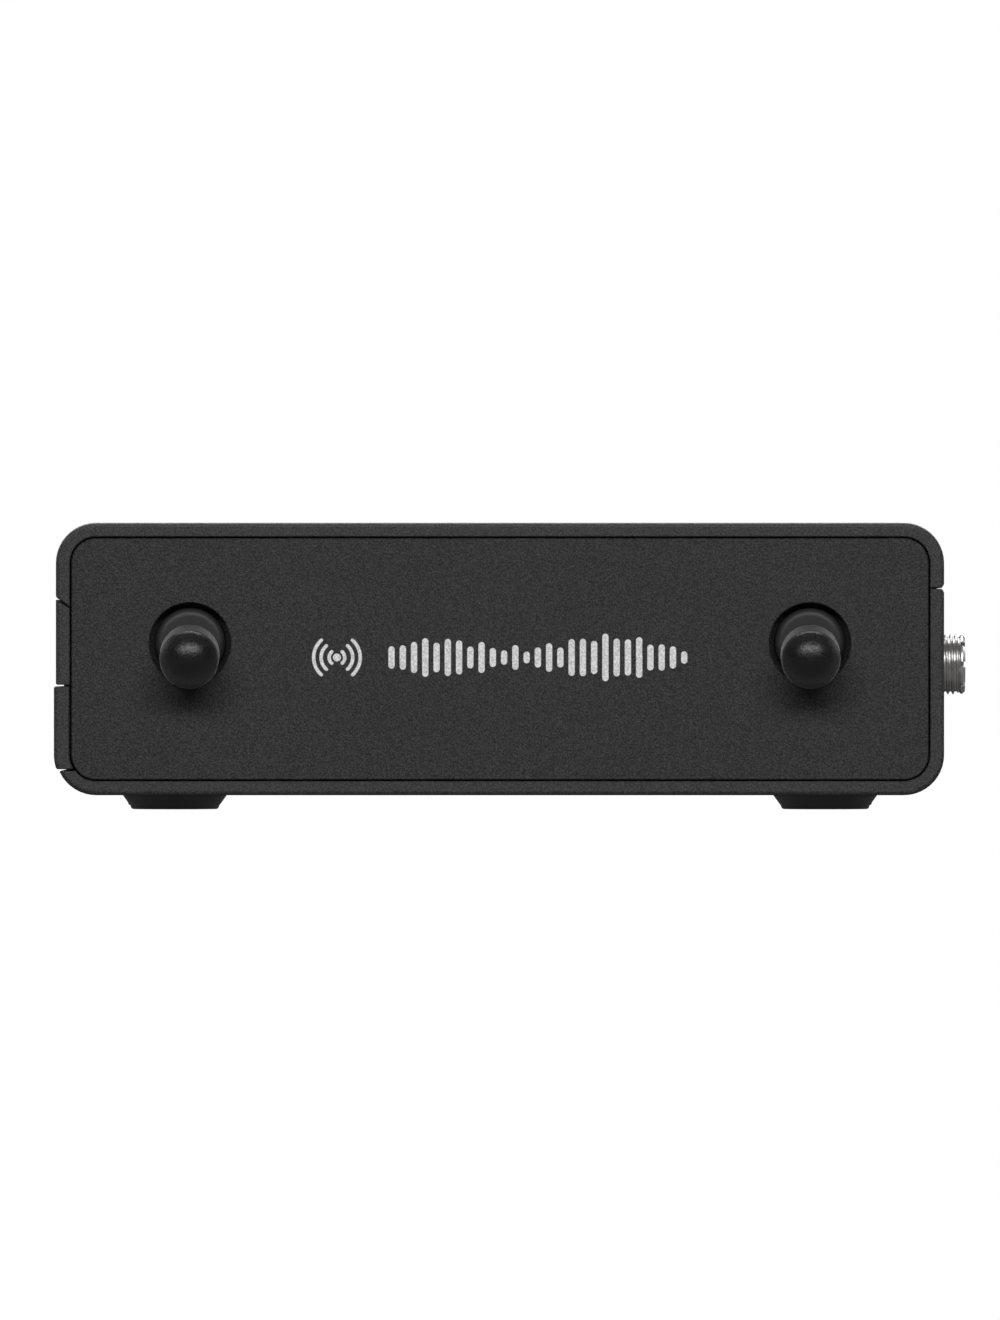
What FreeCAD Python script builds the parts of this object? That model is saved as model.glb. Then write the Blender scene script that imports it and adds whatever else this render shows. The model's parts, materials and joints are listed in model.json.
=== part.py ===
import FreeCAD, Part
import math
import os
import Sketcher

# A compact wireless audio receiver with two stub antennas.
# The antenna end faces -Y, the control end +Y, the battery door is on -X and the sockets on +X.
# The origin is the mouth of the bracket thread in the middle of the underside; all sizes are in mm.

V = FreeCAD.Vector
doc = FreeCAD.newDocument("wireless_receiver")
sheet = doc.addObject("Spreadsheet::Sheet", "dims")
sheet_rows = 0


class Size:
    """A length that carries both its value and the sheet expression that drives it."""

    def __init__(self, value, text):
        self.value = float(value)
        self.text = text

    def __neg__(self):
        return Size(-self.value, "(-%s)" % self.text)

    def __add__(self, other):
        other = as_size(other)
        return Size(self.value + other.value, "(%s + %s)" % (self.text, other.text))

    def __radd__(self, other):
        return as_size(other) + self

    def __sub__(self, other):
        other = as_size(other)
        return Size(self.value - other.value, "(%s - %s)" % (self.text, other.text))

    def __rsub__(self, other):
        return as_size(other) - self

    def __mul__(self, other):
        other = as_size(other)
        return Size(self.value * other.value, "(%s * %s)" % (self.text, other.text))

    def __rmul__(self, other):
        return as_size(other) * self

    def __truediv__(self, other):
        other = as_size(other)
        return Size(self.value / other.value, "(%s / %s)" % (self.text, other.text))


def as_size(number):
    if isinstance(number, Size):
        return number
    return Size(number, "(%r)" % float(number))


def root(size):
    return Size(math.sqrt(size.value), "sqrt(%s)" % size.text)


def dim(alias, value):
    """One driving dimension: a row of the sheet."""
    global sheet_rows
    sheet_rows += 1
    sheet.set("A%d" % sheet_rows, alias)
    sheet.set("B%d" % sheet_rows, repr(float(value)))
    sheet.setAlias("B%d" % sheet_rows, alias)
    return Size(value, "dims." + alias)


# ---------------------------------------------------------------- driving dimensions

# housing
width = dim("body_width", 88.0)
depth = dim("body_depth", 64.0)
height = dim("body_height", 27.0)
corner = dim("corner_radius", 4.0)
wall = dim("shell_wall", 1.4)
groove_gap = dim("panel_groove", 0.14)
panel_thick = dim("panel_thickness", 2.0)
edge_round = dim("outer_edge_round", 0.42)
small_round = dim("front_line_chamfer", 0.1)
seam_corner = dim("seam_corner_chamfer", 0.12)
clear = dim("loose_clearance", 0.15)
run_clear = dim("running_clearance", 0.05)
close_clear = dim("close_clearance", 0.02)
hole_clear = dim("hole_clearance", 0.1)
ledge_high = dim("panel_ledge_height", 0.9)
ledge_thick = dim("panel_ledge_thickness", 1.0)
rear_ledge_half = dim("rear_ledge_half_width", 30.0)
standoff_r = dim("board_standoff_radius", 2.0)
standoff_bore = dim("board_screw_bore_radius", 0.82)

# seams between the two shells, the door and the latch
seam_z = dim("right_seam_height", 20.5)
seam_gap = dim("right_seam_gap", 0.1)
notch_rise = dim("seam_notch_rise", 0.38)
notch_deep = dim("seam_notch_depth", 0.22)
door_top = dim("door_top_at_skin", 19.54)
door_slope = dim("door_top_slope", 0.684)
split_z = dim("strip_split_height", 10.86)
sill_z = dim("door_sill_height", 2.5)
half_gap = dim("door_seam_half_gap", 0.08)
hinge_top = dim("hinge_zone_top", 18.4)
hinge_block_ahead = dim("hinge_block_ahead_of_pin", 1.8)
hinge_block_deep = dim("hinge_block_depth", 1.7)
lip_top = dim("hinge_block_top", 22.0)
proud = dim("latch_proud", 0.2)

# door hinge and latch
pin_y = dim("hinge_pin_from_middle", 26.0)
knuckle_r = dim("hinge_knuckle_radius", 1.5)
pin_r = dim("hinge_pin_radius", 0.75)
pin_clear = dim("hinge_pin_clearance", 0.03)
pin_low = dim("hinge_pin_foot", 1.62)
pin_high = dim("hinge_pin_top", 20.1)
latch_length = dim("latch_length", 29.0)
latch_travel = dim("latch_travel", 2.4)
web_thick = dim("door_web_thickness", 0.8)
hook_y = dim("latch_hook_from_front", 4.7)
hook_wide = dim("latch_hook_width", 1.5)
hook_reach = dim("latch_hook_reach", 3.9)
hook_low = dim("latch_hook_low_edge", 5.2)
hook_high = dim("latch_hook_high_edge", 8.2)
toe_thick = dim("latch_toe_thickness", 1.0)
toe_long = dim("latch_toe_length", 1.8)
lug_gap = dim("latch_lug_spacing", 17.0)
head_thick = dim("latch_head_thickness", 0.45)
grip_count = 7
grip_pitch = dim("grip_pitch", 1.6)
grip_wide = dim("grip_groove_width", 0.8)
grip_deep = dim("grip_groove_depth", 0.3)
grip_start = dim("grip_from_front", 10.0)

# antennas
antenna_x = dim("antenna_offset", 30.7)
antenna_z = dim("antenna_height", 15.05)
well_r = dim("well_radius", 4.015)
well_deep = dim("well_depth", 2.4)
collar_r = dim("collar_radius", 3.5)
collar_round = dim("collar_shoulder_round", 0.75)
mouth_r = dim("collar_mouth_radius", 1.88)
boss_r = dim("well_boss_radius", 5.2)
boss_long = dim("well_boss_length", 5.0)
seat_rear = dim("collar_rear_from_pivot", 2.9)
clip_deep = dim("clip_groove_depth", 0.4)
clip_set = dim("clip_groove_from_rim", 7.2)
clip_wide = dim("clip_groove_width", 0.6)
clip_thick = dim("clip_thickness", 0.5)
pivot_in = dim("antenna_pivot_depth", 5.0)
ball_r = dim("antenna_ball_radius", 2.4)
neck_r = dim("antenna_neck_radius", 1.0)
neck_wide = dim("antenna_flare_radius", 1.8)
head_r = dim("antenna_head_radius", 2.94)
head_start = dim("antenna_head_start", 6.2)
head_length = dim("antenna_head_length", 3.53)
dome_r = dim("antenna_dome_radius", 3.3)
head_round = dim("antenna_shoulder_round", 1.2)
droop = dim("antenna_droop_angle", 9.3)

# feet, screws and the bracket thread
foot_x = dim("front_foot_offset_across", 32.4)
rear_foot_x = dim("rear_foot_offset_across", 33.6)
foot_y = dim("foot_offset_along", 21.6)
foot_r = dim("foot_radius", 5.15)
foot_tip_r = dim("foot_tip_radius", 4.4)
foot_high = dim("foot_height", 1.45)
foot_sunk = dim("foot_recess", 0.6)
foot_round = dim("foot_lower_round", 0.3)
insert_r = dim("insert_outer_radius", 4.2)
insert_bore = dim("insert_bore_radius", 2.6)
insert_long = dim("insert_length", 5.5)
boss_wall = dim("insert_boss_wall", 1.2)
screw_r = dim("screw_shank_radius", 0.97)
screw_head_r = dim("screw_head_radius", 1.8)
post_r = dim("screw_post_radius", 2.4)
post_split = dim("screw_post_split_height", 6.0)
bore_top = dim("screw_bore_top", 15.0)
screw_seat = dim("screw_seat_height", 2.0)
screw_tip = dim("screw_tip_height", 12.0)
screw_head_high = dim("screw_head_height", 1.3)
board_screw_r = dim("board_screw_radius", 0.8)
board_screw_head_r = dim("board_screw_head_radius", 1.5)
board_screw_head_high = dim("board_screw_head_height", 0.9)
board_screw_long = dim("board_screw_length", 3.4)
board_hole_r = dim("board_hole_radius", 0.95)
rear_screw_x = dim("rear_screw_offset", 38.4)
rear_screw_y = dim("rear_screw_station", 27.4)
front_screw_x = dim("front_screw_offset", 19.5)
front_screw_y = dim("front_screw_station", -26.4)
board_screw_x = dim("board_screw_offset", 37.5)
board_screw_y = dim("board_screw_station", 20.0)

# sockets on the right flank
jack_z = dim("jack_axis_height", 12.96)
jack_y = dim("audio_jack_station", -18.0)
jack_out = dim("audio_jack_protrusion", 2.4)
thread_r = dim("audio_jack_thread_radius", 3.0)
thread_pitch = dim("audio_jack_thread_pitch", 0.5)
thread_deep = dim("audio_jack_thread_depth", 0.3)
plug_r = dim("plug_bore_radius", 1.8)
plug_deep = dim("plug_bore_depth", 14.0)
phones_y = dim("headphone_jack_station", 1.0)
phones_r = dim("headphone_ring_radius", 3.0)
sleeve_r = dim("socket_sleeve_radius", 2.5)
socket_low = dim("socket_body_setback", 1.8)
usb_y = dim("usb_port_station", 16.0)
usb_wide = dim("usb_port_width", 8.94)
usb_high = dim("usb_port_height", 3.16)
usb_clear = dim("usb_slot_clearance", 0.3)
usb_deep = dim("usb_shell_depth", 6.2)
usb_base = dim("usb_shell_base", 0.8)

# battery and its bay
pack_x = dim("pack_left_face", -41.1)
pack_wide = dim("pack_width", 30.0)
pack_long = dim("pack_length", 44.0)
pack_high = dim("pack_height", 14.6)
pack_z = dim("pack_underside", 2.9)
pack_y = dim("pack_front_face", -21.0)
liner = dim("bay_wall", 0.9)

# boards
board_thick = dim("board_thickness", 1.0)
main_z = dim("main_board_height", 20.6)
audio_z = dim("audio_board_height", 8.2)
audio_post_r = dim("audio_board_post_radius", 1.9)
ui_y = dim("ui_board_station", 25.4)

# display and buttons
window_x = dim("display_middle", -13.5)
window_wide = dim("window_width", 36.0)
window_high = dim("window_height", 16.6)
window_z = dim("window_middle_height", 13.4)
button_r = dim("button_radius", 2.6)
button_proud = dim("button_height", 0.8)
button_clear = dim("button_clearance", 0.08)
button_pitch = dim("button_column_pitch", 8.9)
button_column = dim("first_button_column", 14.0)
button_low = dim("lower_button_row", 9.2)
button_rise = dim("button_row_pitch", 8.4)
pipe_r = dim("light_pipe_radius", 0.8)
pipe_z = dim("light_pipe_height", 22.9)
pipe_pitch = dim("light_pipe_pitch", 5.9)
switch_half = dim("switch_half_width", 2.4)
switch_front = dim("switch_front_station", 28.2)

doc.recompute()

half = width / 2
front = -depth / 2
back = depth / 2
inner = half - wall
inner_r = corner - wall
panel_half = inner - groove_gap
panel_r = inner_r - groove_gap
panel_low = wall + groove_gap
panel_high = height - panel_low
panel_rear = front + panel_thick
control_rear = back - panel_thick
zero = as_size(0)
full_turn = 360.0

# ---------------------------------------------------------------- sketch helpers

PLANES = {"x": "YZ_Plane", "y": "XZ_Plane", "z": "XY_Plane"}
TURNS = {
    "x": FreeCAD.Rotation(V(0, 1, 0), 90),
    "y": FreeCAD.Rotation(V(1, 0, 0), -90),
    "z": FreeCAD.Rotation(),
}


def new_body(label):
    body = doc.addObject("PartDesign::Body", label)
    body.Label = label
    return body


def origin_piece(body, role):
    return [piece for piece in body.Origin.OriginFeatures if piece.Role == role][0]


def new_sketch(body, name, axis, level):
    """A sketch square to the axis at the given station of its body."""
    sketch = body.newObject("Sketcher::SketchObject", name)
    sketch.AttachmentSupport = [(origin_piece(body, PLANES[axis]), "")]
    sketch.MapMode = "FlatFace"
    level = as_size(level)
    if axis == "y":
        level = -level
    sketch.AttachmentOffset = FreeCAD.Placement(V(0, 0, level.value), FreeCAD.Rotation())
    sketch.setExpression("AttachmentOffset.Base.z", level.text)
    return sketch


def pin_point(sketch, geometry, which, u, v):
    across = Sketcher.Constraint("DistanceX", -1, 1, geometry, which, u.value)
    sketch.setExpression("Constraints[%d]" % sketch.addConstraint(across), u.text)
    along = Sketcher.Constraint("DistanceY", -1, 1, geometry, which, v.value)
    sketch.setExpression("Constraints[%d]" % sketch.addConstraint(along), v.text)


def set_radius(sketch, geometry, radius):
    rule = Sketcher.Constraint("Radius", geometry, radius.value)
    sketch.setExpression("Constraints[%d]" % sketch.addConstraint(rule), radius.text)


def draw_loop(sketch, corners):
    """A closed loop; a corner (u, v, (cu, cv, r)) starts an arc about cu, cv to the next corner."""
    corners = [tuple(as_size(n) for n in c[:2]) + tuple(c[2:]) for c in corners]
    edges = []
    for index, this in enumerate(corners):
        following = corners[(index + 1) % len(corners)]
        a = V(this[0].value, this[1].value, 0)
        b = V(following[0].value, following[1].value, 0)
        if len(this) == 2:
            edges.append((sketch.addGeometry(Part.LineSegment(a, b)), True))
            continue
        centre = V(as_size(this[2][0]).value, as_size(this[2][1]).value, 0)
        radius = as_size(this[2][2])
        angle_a = math.atan2(a.y - centre.y, a.x - centre.x)
        angle_b = math.atan2(b.y - centre.y, b.x - centre.x)
        forwards = (angle_b - angle_a) % math.tau < math.pi
        if not forwards:
            angle_a, angle_b = angle_b, angle_a
        circle = Part.Circle(centre, V(0, 0, 1), radius.value)
        edge = sketch.addGeometry(Part.ArcOfCircle(circle, angle_a, angle_b))
        edges.append((edge, forwards))
        set_radius(sketch, edge, radius)
    for index, (edge, forwards) in enumerate(edges):
        after, after_forwards = edges[(index + 1) % len(edges)]
        end = 2 if forwards else 1
        begin = 1 if after_forwards else 2
        sketch.addConstraint(Sketcher.Constraint("Coincident", edge, end, after, begin))
        pin_point(sketch, after, begin, *corners[(index + 1) % len(corners)][:2])


def draw_circle(sketch, u, v, radius):
    u, v, radius = as_size(u), as_size(v), as_size(radius)
    circle = Part.Circle(V(u.value, v.value, 0), V(0, 0, 1), radius.value)
    edge = sketch.addGeometry(circle)
    pin_point(sketch, edge, 3, u, v)
    set_radius(sketch, edge, radius)


def draw_box(sketch, u0, u1, v0, v1):
    draw_loop(sketch, [(u0, v0), (u1, v0), (u1, v1), (u0, v1)])


def draw_round_box(sketch, u0, u1, v0, v1, r):
    """A rectangle with four rounded corners."""
    draw_loop(sketch, [
        (u0 + r, v0), (u1 - r, v0, (u1 - r, v0 + r, r)),
        (u1, v0 + r), (u1, v1 - r, (u1 - r, v1 - r, r)),
        (u1 - r, v1), (u0 + r, v1, (u0 + r, v1 - r, r)),
        (u0, v1 - r), (u0, v0 + r, (u0 + r, v0 + r, r)),
    ])


def finish_feature(body, feature, grows):
    """Recompute and make sure the feature added or took away material."""
    before = body.Shape.Volume if not body.Shape.isNull() else 0.0
    doc.recompute()
    after = body.Shape.Volume
    if (after > before) != grows or abs(after - before) < 1e-6:
        raise RuntimeError("%s %s went the wrong way" % (body.Label, feature.Label))
    return feature


def pad(body, name, axis, low, high, draw):
    """Material between two stations along an axis; draw() puts the loops in the sketch."""
    low, high = as_size(low), as_size(high)
    sketch = new_sketch(body, name + "_outline", axis, high if axis == "y" else low)
    draw(sketch)
    feature = body.newObject("PartDesign::Pad", name)
    feature.Profile = sketch
    feature.Length = (high - low).value
    feature.setExpression("Length", (high - low).text)
    return finish_feature(body, feature, True)


def pocket(body, name, axis, low, high, draw):
    low, high = as_size(low), as_size(high)
    sketch = new_sketch(body, name + "_outline", axis, low if axis == "y" else high)
    draw(sketch)
    feature = body.newObject("PartDesign::Pocket", name)
    feature.Profile = sketch
    feature.Length = (high - low).value
    feature.setExpression("Length", (high - low).text)
    return finish_feature(body, feature, False)


def revolve(body, name, corners, kind="PartDesign::Revolution"):
    """Turn a loop of (radius, height) corners about the body's own Z axis."""
    sketch = new_sketch(body, name + "_profile", "y", 0)
    draw_loop(sketch, corners)
    feature = body.newObject(kind, name)
    feature.Profile = sketch
    feature.ReferenceAxis = (origin_piece(body, "Z_Axis"), [""])
    feature.Angle = full_turn
    return finish_feature(body, feature, kind == "PartDesign::Revolution")


def place(thing, x, y, z, rotation):
    """Put a sub-part at sheet-driven coordinates."""
    x, y, z = as_size(x), as_size(y), as_size(z)
    thing.Placement = FreeCAD.Placement(V(x.value, y.value, z.value), rotation)
    for letter, value in (("x", x), ("y", y), ("z", z)):
        thing.setExpression("Placement.Base." + letter, value.text)
    return thing


def dress(body, kind, name, size, wanted):
    """Round or chamfer every edge of the tip whose middle passes the wanted() test."""
    tip = body.Tip
    names = []
    for index, edge in enumerate(tip.Shape.Edges):
        middle = edge.valueAt((edge.FirstParameter + edge.LastParameter) / 2)
        if wanted(edge, middle):
            names.append("Edge%d" % (index + 1))
    feature = body.newObject(kind, name)
    feature.Base = (tip, names)
    key = "Radius" if kind == "PartDesign::Fillet" else "Size"
    setattr(feature, key, as_size(size).value)
    feature.setExpression(key, as_size(size).text)
    return finish_feature(body, feature, False)


def skin_distance(x, z, grow=0.0):
    """How far a point lies outside the rounded outline of the housing, seen along Y."""
    reach = corner.value + grow
    across = abs(x) - (half.value - corner.value)
    up = abs(z - height.value / 2) - (height.value / 2 - corner.value)
    outside = math.hypot(max(across, 0), max(up, 0))
    return outside + min(max(across, up), 0) - reach


def end_edges(station, grow=0.0):
    """A test for the outer edges of the housing at one end face."""
    def wanted(edge, middle):
        flat = all(abs(vertex.Y - station.value) < 1e-4 for vertex in edge.Vertexes)
        return flat and abs(skin_distance(middle.x, middle.z, grow)) < 1e-3
    return wanted


def front_lines(station, grow=0.0):
    """A test for the edges of an end face that aren't on the outer skin: seams and openings."""
    outer = end_edges(station, grow)

    def wanted(edge, middle):
        flat = all(abs(vertex.Y - station.value) < 1e-4 for vertex in edge.Vertexes)
        return flat and not outer(edge, middle)
    return wanted


def seam_lines(*corners):
    """A test for the edges that run front to back through the given (x, z) corners."""
    spots = [(as_size(x).value, as_size(z).value) for x, z in corners]

    def wanted(edge, middle):
        ends = [vertex.Y for vertex in edge.Vertexes]
        runs = max(ends) - min(ends) > 1
        return runs and any(math.hypot(middle.x - x, middle.z - z) < 1e-3 for x, z in spots)
    return wanted


# ---------------------------------------------------------------- solid helpers

def block(label, x, y, z):
    """A rectangular solid between (low, high) pairs."""
    solid = doc.addObject("Part::Box", label)
    solid.Label = label
    for key, (low, high) in (("Length", x), ("Width", y), ("Height", z)):
        span = as_size(high) - low
        setattr(solid, key, span.value)
        solid.setExpression(key, span.text)
    return place(solid, x[0], y[0], z[0], FreeCAD.Rotation())


def rod(label, axis, u, v, radius, low, high):
    """A round solid along an axis; u, v are the two other coordinates in X, Y, Z order."""
    solid = doc.addObject("Part::Cylinder", label)
    solid.Label = label
    solid.Radius = as_size(radius).value
    solid.setExpression("Radius", as_size(radius).text)
    span = as_size(high) - low
    solid.Height = span.value
    solid.setExpression("Height", span.text)
    spot = {"x": (low, u, v), "y": (u, low, v), "z": (u, v, low)}[axis]
    return place(solid, *spot, TURNS[axis])


def ball(label, x, y, z, radius):
    solid = doc.addObject("Part::Sphere", label)
    solid.Label = label
    solid.Radius = as_size(radius).value
    solid.setExpression("Radius", as_size(radius).text)
    return place(solid, x, y, z, FreeCAD.Rotation())


def fuse(label, parts):
    joined = doc.addObject("Part::MultiFuse", label)
    joined.Label = label
    joined.Shapes = parts
    return joined


def group(label, parts):
    """Separate identical or matching solids that share one node."""
    together = doc.addObject("Part::Compound", label)
    together.Label = label
    together.Links = parts
    return together


def cut(label, base, tools):
    tool = tools[0] if len(tools) == 1 else fuse(label + "_tools", tools)
    result = doc.addObject("Part::Cut", label)
    result.Label = label
    result.Base = base
    result.Tool = tool
    return result


def wire_run(label, radius, points):
    """A round wire through the points: straight runs joined by round bends."""
    path = [V(*(as_size(n).value for n in point)) for point in points]
    runs = []
    for index in range(len(path) - 1):
        span = path[index + 1] - path[index]
        piece = doc.addObject("Part::Cylinder", "%s_run%d" % (label, index + 1))
        piece.Radius = as_size(radius).value
        piece.setExpression("Radius", as_size(radius).text)
        piece.Height = span.Length
        turn = FreeCAD.Rotation(V(0, 0, 1), span)
        place(piece, *points[index], turn)
        runs.append(piece)
        if index:
            runs.append(ball("%s_bend%d" % (label, index), *points[index], radius))
    return fuse(label, runs)


# ---------------------------------------------------------------- housing shells

def edge_x_on_arc(radius, z):
    """Left-hand X of the corner arc of the given radius at height z, below the corner centre."""
    return -(half - corner) - root(radius * radius - (corner - z) * (corner - z))


def build_top_shell():
    body = new_body("top_shell")
    seam_low = seam_z + seam_gap / 2
    lip_outer = door_top + half_gap
    lip_inner = lip_outer - door_slope * wall
    mid_x = half - corner
    mid_z = height - corner

    def profile(sketch):
        draw_loop(sketch, [
            (inner, seam_low), (half - notch_deep, seam_low), (half, seam_low + notch_rise),
            (half, mid_z, (mid_x, mid_z, corner)), (mid_x, height),
            (-mid_x, height, (-mid_x, mid_z, corner)), (-half, mid_z),
            (-half, lip_outer), (-inner, lip_inner),
            (-inner, mid_z, (-mid_x, mid_z, inner_r)), (-mid_x, height - wall),
            (mid_x, height - wall, (mid_x, mid_z, inner_r)), (inner, mid_z),
        ])

    pad(body, "roof", "y", front, back, profile)
    dress(body, "PartDesign::Chamfer", "lip_corner", seam_corner, seam_lines((-half, lip_outer)))
    block_low = hinge_top + half_gap / 2
    hinge_from = pin_y - hinge_block_ahead
    hinge_to = pin_y + knuckle_r
    pad(body, "hinge_block", "z", block_low, lip_top, lambda s: draw_box(
        s, -half, -inner + hinge_block_deep, hinge_from, hinge_to))
    pad(body, "rear_lip", "z", block_low, lip_top, lambda s: draw_box(
        s, -half, -inner, hinge_to, back))
    pocket(body, "pin_socket", "z", block_low, pin_high + hole_clear, lambda s: draw_circle(
        s, -half + knuckle_r, pin_y, pin_r + pin_clear))

    def posts(sketch, radius):
        for x, y in screw_spots():
            draw_circle(sketch, x, y, radius)
    post_foot = post_split + run_clear
    pad(body, "screw_posts", "z", post_foot, height - wall, lambda s: posts(s, post_r))
    pocket(body, "screw_bores", "z", post_foot, bore_top, lambda s: posts(
        s, screw_r + close_clear))

    def standoffs(sketch, radius):
        for x, y in board_screw_spots():
            draw_circle(sketch, x, y, radius)
    top_face = main_z + board_thick
    pad(body, "board_standoffs", "z", top_face, height - wall, lambda s: standoffs(
        s, standoff_r))
    pocket(body, "standoff_bores", "z", top_face, top_face + 3, lambda s: standoffs(
        s, standoff_bore))

    def ledges(sketch):
        draw_ledges(sketch, as_size(20))
    pad(body, "panel_ledges", "z", height - wall - ledge_high, height - wall, ledges)
    finish_shell_ends(body)
    return body


def draw_ledges(sketch, front_half):
    """The two ribs that hold the end panels from behind."""
    front_face = panel_rear + hole_clear
    rear_face = control_rear - hole_clear
    draw_box(sketch, -front_half, front_half, front_face, front_face + ledge_thick)
    draw_box(sketch, -rear_ledge_half, rear_ledge_half, rear_face - ledge_thick, rear_face)


def finish_shell_ends(body):
    """Round the outer edge and break the inner lines of both end faces."""
    for name, station in (("front", front), ("back", back)):
        dress(body, "PartDesign::Fillet", name + "_edge", edge_round, end_edges(station))
        dress(body, "PartDesign::Chamfer", name + "_lines", small_round, front_lines(station))


def screw_spots():
    """Housing screws: two beside the control panel, two between the antennas."""
    return [(-rear_screw_x, rear_screw_y), (rear_screw_x, rear_screw_y),
            (-front_screw_x, front_screw_y), (front_screw_x, front_screw_y)]


def board_screw_spots():
    return [(side * board_screw_x, end * board_screw_y) for side in (-1, 1) for end in (-1, 1)]


def build_bottom_shell():
    body = new_body("bottom_shell")
    seam_high = seam_z - seam_gap / 2
    mid_x = half - corner
    sill = sill_z - half_gap
    sill_outer = edge_x_on_arc(corner, sill)
    sill_inner = edge_x_on_arc(inner_r, sill)

    def profile(sketch):
        draw_loop(sketch, [
            (half, seam_high - notch_rise), (half - notch_deep, seam_high), (inner, seam_high),
            (inner, corner, (mid_x, corner, inner_r)), (mid_x, wall),
            (-mid_x, wall, (-mid_x, corner, inner_r)), (sill_inner, sill),
            (sill_outer, sill, (-mid_x, corner, corner)), (-mid_x, zero),
            (mid_x, zero, (mid_x, corner, corner)), (half, corner),
        ])

    pad(body, "floor", "y", front, back, profile)

    def pillar(sketch):
        top = hinge_top - half_gap / 2
        draw_loop(sketch, [
            (-half, top), (-inner, top), (-inner, corner, (-mid_x, corner, inner_r)),
            (sill_inner, sill), (sill_outer, sill, (-mid_x, corner, corner)), (-half, corner),
        ])
    pad(body, "rear_pillar", "y", pin_y + knuckle_r + clear, back, pillar)
    dress(body, "PartDesign::Chamfer", "sill_corner", seam_corner, seam_lines((sill_outer, sill)))
    pocket(body, "pin_socket", "z", pin_low - close_clear, sill, lambda s: draw_circle(
        s, -half + knuckle_r, pin_y, pin_r + pin_clear))

    def circles(sketch, spots, radius):
        for x, y in spots:
            draw_circle(sketch, x, y, radius)
    audio_posts = audio_board_spots()
    pad(body, "screw_posts", "z", wall, post_split, lambda s: circles(s, screw_spots(), post_r))
    pad(body, "insert_boss", "z", wall, insert_long + 0.9, lambda s: draw_circle(
        s, zero, zero, insert_r + boss_wall))
    pad(body, "audio_posts", "z", wall, audio_z, lambda s: circles(
        s, audio_posts, audio_post_r))
    pocket(body, "foot_recesses", "z", 0, foot_sunk, lambda s: circles(
        s, foot_spots(), foot_r + hole_clear))
    pocket(body, "screw_heads", "z", 0, screw_seat, lambda s: circles(
        s, screw_spots(), screw_head_r + hole_clear))
    pocket(body, "screw_bores", "z", screw_seat, post_split, lambda s: circles(
        s, screw_spots(), screw_r + hole_clear))
    pocket(body, "audio_bores", "z", audio_z - 4, audio_z, lambda s: circles(
        s, audio_posts, standoff_bore))
    pocket(body, "insert_hole", "z", 0, insert_long, lambda s: draw_circle(
        s, zero, zero, insert_r))

    def ledges(sketch):
        draw_ledges(sketch, as_size(14))
    pad(body, "panel_ledges", "z", wall, wall + ledge_high, ledges)

    pocket(body, "audio_jack_hole", "x", inner - 0.5, half + 0.5, lambda s: draw_circle(
        s, jack_y, jack_z, thread_r + clear))
    pocket(body, "headphone_hole", "x", inner - 0.5, half + 0.5, lambda s: draw_circle(
        s, phones_y, jack_z, phones_r + hole_clear))
    usb_z = audio_z + board_thick + usb_high / 2
    usb_half = usb_wide / 2 + usb_clear
    usb_tall = usb_high / 2 + usb_clear
    pocket(body, "usb_slot", "x", inner - 0.5, half + 0.5, lambda s: draw_round_box(
        s, usb_y - usb_half, usb_y + usb_half, usb_z - usb_tall, usb_z + usb_tall,
        usb_tall - 0.2))
    finish_shell_ends(body)
    return body


def foot_spots():
    """Front and rear feet; the rear pair stands a little wider."""
    return [(side * x, y) for side in (-1, 1) for x, y in ((foot_x, -foot_y), (rear_foot_x, foot_y))]


def audio_board_spots():
    return [(14, -20), (14, 21), (39, -7.5), (39, 8)]


# ---------------------------------------------------------------- end panels

def build_antenna_end_panel():
    body = new_body("antenna_end_panel")
    sides = (-antenna_x, antenna_x)

    def wells(sketch, radius):
        for x in sides:
            draw_circle(sketch, x, antenna_z, radius)
    pad(body, "plate", "y", front, panel_rear, lambda s: draw_round_box(
        s, -panel_half, panel_half, panel_low, panel_high, panel_r))
    boss_rear = panel_rear + boss_long
    pad(body, "well_bosses", "y", panel_rear, boss_rear, lambda s: wells(s, boss_r))
    rib_x = latch_toe_x() - 0.2
    pad(body, "latch_strike", "y", panel_rear, panel_rear + 2.4, lambda s: draw_box(
        s, rib_x - 1.0, rib_x, hook_low - 0.4, hook_high + 0.4))
    pocket(body, "wells", "y", front, front + well_deep, lambda s: wells(s, well_r))
    pocket(body, "bearings", "y", front + well_deep, boss_rear, lambda s: wells(
        s, collar_r + run_clear))

    def front_rim(edge, middle):
        return all(abs(vertex.Y - front.value) < 1e-4 for vertex in edge.Vertexes)
    dress(body, "PartDesign::Chamfer", "front_rim", small_round, front_rim)
    return body


def latch_toe_x():
    """Outer face of the latch toe, the side that bears on the strike."""
    return -inner - run_clear + hook_reach - toe_thick


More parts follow.
